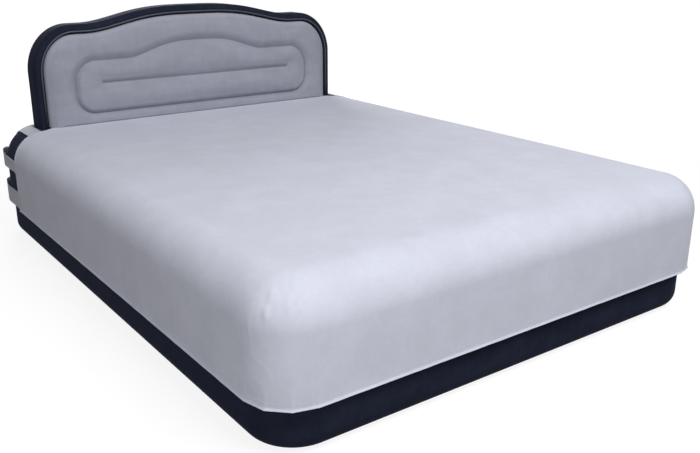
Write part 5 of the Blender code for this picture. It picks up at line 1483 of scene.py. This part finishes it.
def strapsAndLoops():
    for side, word in ((-1, "left"), (1, "right")):
        for level in ("upper", "lower"):
            sideStrap(level, side, word)
            strapLoop(level, side, word)
        topStrap(side, word)
        hookPatch(word)


# The pump's face on the head wall, drawn about its middle as seen from inside the bed
bezelLow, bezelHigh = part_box("pump_bezel")
pumpZ, pumpFace = (bezelLow.z + bezelHigh.z) / 2, bezelHigh.y

pump = {
    "rim": 0.014,
    "corner": 0.014,
    "soften": 0.0006,
    "overrun": 0.001,
    "mouth": (0.091, 0.044, 0.006),
    "gasket": (0.001, 0.0005),  # how much tighter its corners are, and its softened edge
    "plate": 0.004,
    "dialX": -0.047,
    "dialRadius": 0.0270,
    "dialRoom": 0.0005,
    "rockerOpening": (0.0066, 0.0112, 0.0008),
    "doorX": 0.050,
    "doorOpening": (0.0345, 0.0295, 0.0010),
    "notch": ((0.0068, 0.0026), (0.0070, 0.0030)),
    "notchEnd": 0.0072,
    "screws": [(-0.0852, -0.0382), (0.0852, -0.0382), (0.0852, 0.0382), (-0.0852, 0.0382)],
    "screwHole": 0.0018,
    "rimLine": (0.1010, 0.0540, 0.0098),
    "rimLineCut": (0.0008, 0.0004),
    "paint": 0.00014,
}


# A rounded shape on the pump's face, about a middle along X and Z
def faceShape(halfWidth, halfHeight, radius, steps, x=0.0, up=0.0):
    return softRectangle(halfWidth, halfHeight, radius, steps, (x, pumpZ + up))


def halfSizes(node):
    low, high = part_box(node)
    return (high.x - low.x) / 2, (high.z - low.z) / 2


def pumpBezel():
    dial = circlePoints(pump["dialRadius"] + pump["dialRoom"], 72, (pump["dialX"], pumpZ))
    switch = faceShape(*pump["rockerOpening"], 3)
    door = faceShape(*pump["doorOpening"], 3, pump["doorX"])
    rim = faceShape(*halfSizes("pump_bezel"), pump["corner"], 12)
    piece = upright("pumpBezel", [rim, dial, switch, door], bezelLow.y, pumpFace, blackPlastic)
    overrun, hole = pump["overrun"], pump["screwHole"]
    notch = [(radius, bezelLow.y + rise) for radius, rise in pump["notch"]]
    notch.append((pump["notchEnd"], pumpFace + 2 * overrun))
    cutters = [lathe("fingerNotch", notch, pump["doorX"] - pump["doorOpening"][0], pumpZ, blackPlastic, 40)]
    bore = [(hole, bezelLow.y - overrun), (hole, pumpFace + overrun)]
    cutters += [lathe("screwHole", bore, x, pumpZ + z, blackPlastic, 24) for x, z in pump["screws"]]
    # a fine line round the face sets its rim off
    width, depth = pump["rimLineCut"]
    border = [faceShape(*[size - inset for size in pump["rimLine"]], 10) for inset in (0, width)]
    cutters.append(upright("rimLine", border, pumpFace - depth, pumpFace + overrun, blackPlastic))
    cutBy(piece, cutters)
    softened(piece, pump["soften"], 3, 55)
    rides(evenShaded(creased(piece)), "black_plastic", "pump_bezel")


def pumpGasket():
    low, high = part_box("pump_gasket")
    tighter, soften = pump["gasket"]
    rim = faceShape(*halfSizes("pump_gasket"), pump["corner"] - tighter, 12)
    mouth = faceShape(*pump["mouth"], 8)
    gasket = upright("pumpGasket", [rim, mouth], low.y, high.y, blackRubber, soften)
    rides(gasket, "black_rubber", "pump_gasket")


# Cross-head screws: radii and heights at the point, the head's rim and dome, and its cross
screwShape = {
    "point": ((0.0, 0.0), (0.0008, 0.0004), (0.0014, 0.0016)),
    "rim": 0.0006,
    "dome": 0.0010,
    "cross": (0.0019, 0.00035, 0.0009, 0.001),
    "turn": 0.6,
}


# One is set on every place of the bezel that takes one
def bezelScrews():
    low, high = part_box("bezel_screw_1")
    rim, dome = screwShape["rim"], screwShape["dome"]
    head, seat = (high.x - low.x) / 2, high.y - rim - dome
    profile = [(radius, low.y + rise) for radius, rise in screwShape["point"]]
    profile += [(profile[-1][0], seat), (head - rim / 3, seat), (head, seat + rim / 3), (head, seat + rim)]
    profile += [(head * math.cos(t), seat + rim + dome * math.sin(t)) for t in quarter(7)[1:-1]]
    screw = lathe("screwShape", [*profile, (0.0, high.y)], 0, 0, zincSteel, 28)
    bars = []
    long, thin, deep, past = screwShape["cross"]
    for reach, width in ((long, thin), (thin, long)):
        near, far = (-reach, high.y - deep, -width), (reach, high.y + past, width)
        bars.append(cuboid("screwCross", near, far, zincSteel))
    cutBy(screw, bars)
    creased(screw)
    places = np.array([(x, 0.0, pumpZ + z) for x, z in pump["screws"]])
    holder = shown("bezelScrews", meshOf("bezelScrews", places, []), zincSteel)
    sizes = {"Shape": ("Object", screw), "Turn": ("Float", screwShape["turn"])}
    g = Layout("bezelScrews", {**sizes, "Material": ("Material", zincSteel)})
    single = g.node("GeometryNodeObjectInfo", None, g.given("Shape"), output="Geometry")
    order = g.node("GeometryNodeInputIndex")
    turn = g.node("ShaderNodeCombineXYZ", None, 0.0, order * g.given("Turn"), 0.0)
    many = g.node("GeometryNodeInstanceOnPoints", None, g.given("Geometry"), Instance=single, Rotation=turn)
    g.apply(many, holder)
    bpy.data.objects.remove(screw)
    rides(creased(holder), "screw_steel", *["bezel_screw_%d" % k for k in (1, 2, 3, 4)])


# Dial with a milled rim and a grip bar; its pointer is painted
dialShape = {
    "shaft": 0.004,
    "depth": 0.0052,
    "chamfer": 0.0006,
    "rim": ((0, -0.0012), (0.0004, -0.0005), (0.0012, 0), (0.0034, 0), (0.0038, -0.0005), (0.0042, 0)),
    "grip": (0.0045, 0.0024, 0.0030),  # half width, inset of its ends and corner radius
    "gripSunk": 0.002,
    "gripSoften": 0.0011,
    "ribs": (0.015, 0.0025, 0.0003, 0.0005),  # reach, pitch, and half sizes of one
    "ribEnds": (0.001, 0.0014),
    "pointer": (0.0008, 0.0052, 0.0006),
    "pointerInset": 0.0075,
    "pointerEnds": (0.0003, 0.00015),
}


def selectorDial():
    low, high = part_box("selector_dial")
    radius, x, shaft, chamfer = pump["dialRadius"], pump["dialX"], dialShape["shaft"], dialShape["chamfer"]
    back = pumpFace - dialShape["depth"]
    profile = [(0.0, low.y), (shaft, low.y), (shaft, back)]
    profile += [(radius - chamfer, back), (radius, back + chamfer)]
    profile += [(radius - inset, pumpFace + rise) for inset, rise in dialShape["rim"]]
    disc = lathe("dialDisc", [*profile, (0.0, pumpFace)], x, pumpZ, greyPlastic, 96)
    halfWidth, inset, corner = dialShape["grip"]
    bar = faceShape(halfWidth, radius - inset, corner, 8, x)
    sunk = pumpFace - dialShape["gripSunk"]
    grip = upright("dialGrip", [bar], sunk, high.y, greyPlastic, dialShape["gripSoften"], 4)
    ribs = []
    reach, pitch, half, tall = dialShape["ribs"]
    start, end = pumpFace - dialShape["ribEnds"][0], high.y - dialShape["ribEnds"][1]
    for z in pumpZ + np.arange(-reach, reach + pitch / 2, pitch):
        for at in (x - halfWidth, x + halfWidth):
            near, far = (at - half, start, z - tall), (at + half, end, z + tall)
            ribs.append(cuboid("gripRib", near, far, greyPlastic))
    rides(joined("selectorDial", [disc, grip, *ribs]), "grey_plastic", "selector_dial", body="dial")
    line = faceShape(*dialShape["pointer"], 4, x, radius - inset - dialShape["pointerInset"])
    below, above = dialShape["pointerEnds"]
    pointer = upright("dialPointer", [line], high.y - below, high.y + above, markPaint)
    rides(pointer, "grey_plastic", body="dial")


# Painted round the dial: ticks, a plain triangle at either end, and a ring for off
dialMark = {
    "degrees": (-60, -30, 0, 30, 60),
    "start": 0.0290,
    "ticks": (0.0034, 0.0020, 0.0004),
    "arrow": (0.0344, 0.0392, 0.0028),
    "ring": (0.0364, 0.0019, 0.0013),
}


def dialMarks():
    centre = np.array([pump["dialX"], pumpZ])
    long, short, half = dialMark["ticks"]
    near, far, spread = dialMark["arrow"]
    shapes = []
    for degrees in dialMark["degrees"]:
        angle = math.radians(90 - degrees)
        way = np.array([math.cos(angle), math.sin(angle)])
        across = np.array([-way[1], way[0]])
        start, reach = centre + way * dialMark["start"], way * (short if degrees % 60 else long)
        left, right = start - across * half, start + across * half
        shapes.append([np.array([left, left + reach, right + reach, right])])
        if abs(degrees) == 60:
            tip, base = (far, near) if degrees < 0 else (near, far)
            tip, base = centre + way * tip, centre + way * base
            shapes.append([np.array([tip, base + across * spread, base - across * spread])])
    up, *radii = dialMark["ring"]
    shapes.append([circlePoints(radius, 28, (pump["dialX"], pumpZ + up)) for radius in radii])
    low, high = pumpFace - 0.0002, pumpFace + pump["paint"]
    marks = [upright("dialMark", outlines, low, high, markPaint) for outlines in shapes]
    rides(joined("dialMarks", marks), "grey_plastic")


# Rocker: two sloping faces over a round back, marked with a stroke and a ring
rocker = {
    "size": (0.0100, 0.0052, 0.0120),  # half height, depth and width
    "tilt": math.radians(8),
    "pivot": 0.9992,
    "soften": 0.0005,
    "pin": (0.0012, 0.0078),
    "markAt": 0.55,
    "stroke": (0.0004, 0.0021, 0.0003),
    "ring": (0.0021, 0.0014),
    "mark": 0.0003,
}


def rockerSwitch():
    (tall, depth, width), tilt = rocker["size"], rocker["tilt"]
    top = depth / 2 + pump["plate"] + board["seat"]
    dip = top - tall * math.tan(tilt)

    def faceAt(share):  # how far the face stands out at a share of the half height
        return dip + (top - dip) * abs(share) ** 1.25

    outline = [(top, -tall), *[(faceAt(k), k * tall) for k in np.linspace(-0.92, 0.92, 17)], (top, tall)]
    outline += [(-depth * math.sin(t), tall * math.cos(t)) for t in np.linspace(0, math.pi, 19)]
    place = Matrix.Translation((0, rocker["pivot"], pumpZ)) @ Matrix.Rotation(tilt, 4, "X")
    # the outline holds (depth, height); the plate's thickness runs along the trunnions
    turn = Matrix(((0, 0, 1, 0), (1, 0, 0, 0), (0, 1, 0, 0), (0, 0, 0, 1)))
    body = plate("rockerBody", [outline], width, place @ turn, blackPlastic, rocker["soften"], 3)
    radius, reach = rocker["pin"]
    pins = lathe("rockerPins", [(radius, -reach), (radius, reach)], 0, 0, blackPlastic, 20)
    pins.data.transform(place @ Matrix.Rotation(math.pi / 2, 4, "Z"))
    rides(joined("rockerSwitch", [body, pins]), "black_plastic", "rocker_switch", body="rocker")
    lean = math.atan2(top - dip, tall) * 1.05
    stroke = [softRectangle(*rocker["stroke"], 3)]
    ring = [circlePoints(radius, 32) for radius in rocker["ring"]]
    marks = []
    for outlines, side in ((stroke, 1), (ring, -1)):
        share = side * rocker["markAt"]
        seat = place @ Matrix.Translation((0, faceAt(share), share * tall))
        seat @= Matrix.Rotation(side * lean, 4, "X") @ Matrix.Rotation(math.pi / 2, 4, "X")
        marks.append(plate("switchMark", outlines, rocker["mark"], seat, markPaint))
    rides(joined("switchMarks", marks), "grey_plastic", body="rocker")


# The door over the cord's compartment, on a barrel hinge, with ribs for a finger
doorLeaf = {
    "hinge": (0.0822, 1.0041),
    "barrel": 0.0017,
    "corner": 0.0012,
    "soften": 0.0004,
    "half": 0.0008,
    "front": 0.0006,
    "border": ((0.0040, 0.0020), (0.0048, 0.0016)),  # insets and corner radii
    "borderRise": 0.0011,
    "ribs": (0.0085, 0.0022, 5),  # the first one's place, the pitch and the count
    "rib": (0.0005, 0.0085, 0.0004),
    "ribRise": 0.0013,
}


def cordDoor():
    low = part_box("cord_door")[0]
    hingeX, hingeY = doorLeaf["hinge"]
    halfWidth, halfHeight = (hingeX - low.x) / 2, halfSizes("cord_door")[1]
    middle = (low.x + hingeX) / 2
    outline = faceShape(halfWidth, halfHeight, doorLeaf["corner"], 5, middle)
    half = doorLeaf["half"]
    leaf = upright("doorLeaf", [outline], hingeY - half, hingeY + half, greyPlastic, doorLeaf["soften"])
    pin = [(hingeX, hingeY, pumpZ + z) for z in (-halfHeight, 0, halfHeight)]
    knuckle = tube("doorBarrel", pin, circlePoints(doorLeaf["barrel"], 28), (0, 1, 0), greyPlastic)
    front = hingeY + doorLeaf["front"]
    border = [faceShape(halfWidth - w, halfHeight - w, r, 5, middle - 0.001) for w, r in doorLeaf["border"]]
    panel = upright("doorBorder", border, front, hingeY + doorLeaf["borderRise"], greyPlastic, 0.0001, 1)
    start, pitch, count = doorLeaf["ribs"]
    ribs = []
    for x in low.x + start + pitch * np.arange(count):
        rib = faceShape(*doorLeaf["rib"], 3, x)
        ribs.append(upright("doorRib", [rib], front, hingeY + doorLeaf["ribRise"], greyPlastic, 0.0002, 2))
    door = joined("cordDoor", [leaf, knuckle, panel, *ribs])
    rides(creased(door), "grey_plastic", "cord_door", body="cord_door")


# Frame parts whose shape is right keep their mesh and take the fine finishes
keptParts = [
    (blackPlastic, ["pump_housing", "cord_box", "switch_body", "fan_volute", "motor_cap", "rotary_valve"]),
    (greyPlastic, ["impeller", "transfer_port_left", "transfer_port_right", "headboard_port"]),
    (blackRubber, ["cord_gland", "outlet_flap"]),
    (zincSteel, ["cord_door_pin", "outlet_flap_pin", "motor_shaft"]),
    (canSteel, ["motor_can"]),
]


def finishKept():
    for material, names in keptParts:
        for slot in [slot for name in names for slot in nodes[name].material_slots]:
            slot.material = material


# Everything is made
baseBody()
mattressBody()
chamberWelds()
innerBeams()
print("chambers made")
headboardBody()
headboardPanel()
headboardPiping()
headboardTies()
print("headboard made")
fittedSheet()
strapsAndLoops()
print("sheet and straps made")
pumpGasket()
pumpBezel()
bezelScrews()
selectorDial()
dialMarks()
rockerSwitch()
cordDoor()
finishKept()
print("pump made")


# Camera, floor and light. A lamp has its place, what it aims at, its size and its power.
stage = {
    "camera": (-1.5032, -2.2827, 1.0349),
    "turn": (90 - 18.074, 0.0, -35.848),
    "lens": 42.776,
    "shift": (6.663 / 700, -6.663 / 700),
    "floor": 40.0,
    "floorShade": 0.18,
    "floorGlow": (0.87, 0.97),
    "sky": 0.21,
    "lamps": {
        "key": ((0.17, -2.8, 3.93), (0.0, -0.1, 0.3), (2.4, 2.0), 142),
        "fill": ((-3.06, -3.2, 0.95), (0.0, 0.0, 0.3), (1.6, 1.2), 44),
        "back": ((1.2, 4.3, 1.8), (0.0, 0.4, 0.3), (2.2, 1.6), 95),
    },
}


def placed(name, data, place, turn):
    thing = bpy.data.objects.new(name, data)
    thing.location = place
    thing.rotation_euler = turn
    bpy.context.scene.collection.objects.link(thing)
    return thing


def addCamera():
    camera = bpy.data.cameras.new("camera")
    camera.sensor_width = 36.0
    camera.lens = stage["lens"]
    camera.shift_x, camera.shift_y = stage["shift"]
    camera.clip_end = 100
    turn = [math.radians(a) for a in stage["turn"]]
    bpy.context.scene.camera = placed("camera", camera, stage["camera"], turn)


# Rays that see the background itself: the camera's, and those in metal and glass
def backgroundRays(graph):
    rays = ("Is Camera Ray", "Is Glossy Ray", "Is Transmission Ray")
    camera, glossy, glass = [graph.node("ShaderNodeLightPath", output=ray) for ray in rays]
    return camera.most(glossy).most(glass)


def addFloor():
    half = stage["floor"] / 2
    corners = [(-half, -half, 0), (half, -half, 0), (half, half, 0), (-half, half, 0)]
    f = Finish("floorPaint", (stage["floorShade"],) * 3, 0.9)
    f.fixed("Specular IOR Level", 0.0)
    away = f.node("ShaderNodeVectorMath", {"operation": "LENGTH"}, f.place(), output="Value")
    near, far = stage["floorGlow"]
    paper = near + away.between(1.6, 5.0) * (far - near)
    glow = f.node("ShaderNodeEmission", None, (1.0, 1.0, 1.0), backgroundRays(f) * paper)
    both = f.node("ShaderNodeAddShader", None, Wire(f, f.shader.outputs[0]), glow)
    f.tree.links.new(both.socket, f.tree.nodes["Material Output"].inputs["Surface"])
    floor = shown("floor", meshOf("floor", corners, [(0, 1, 2, 3)]), f.material)
    floor.location.z = -0.0005


def addLamp(name, place, aim, size, power):
    light = bpy.data.lights.new(name, "AREA")
    light.shape = "RECTANGLE"
    light.size, light.size_y = size
    light.energy = power
    placed(name, light, place, (Vector(aim) - Vector(place)).to_track_quat("-Z", "Y").to_euler())


def addSky():
    world = bpy.data.worlds.new("studio")
    bpy.context.scene.world = world
    world.use_nodes = True
    sky = Graph(world.node_tree)
    background = sky.tree.nodes["Background"]
    background.inputs["Color"].default_value = (1.0, 1.0, 1.0, 1)
    strength = backgroundRays(sky) * (1 - stage["sky"]) + stage["sky"]
    sky.tree.links.new(strength.socket, background.inputs["Strength"])


addCamera()
addFloor()
for name, lamp in stage["lamps"].items():
    addLamp(name, *lamp)
addSky()
bpy.context.scene.view_settings.view_transform = "Standard"
print("stage set")
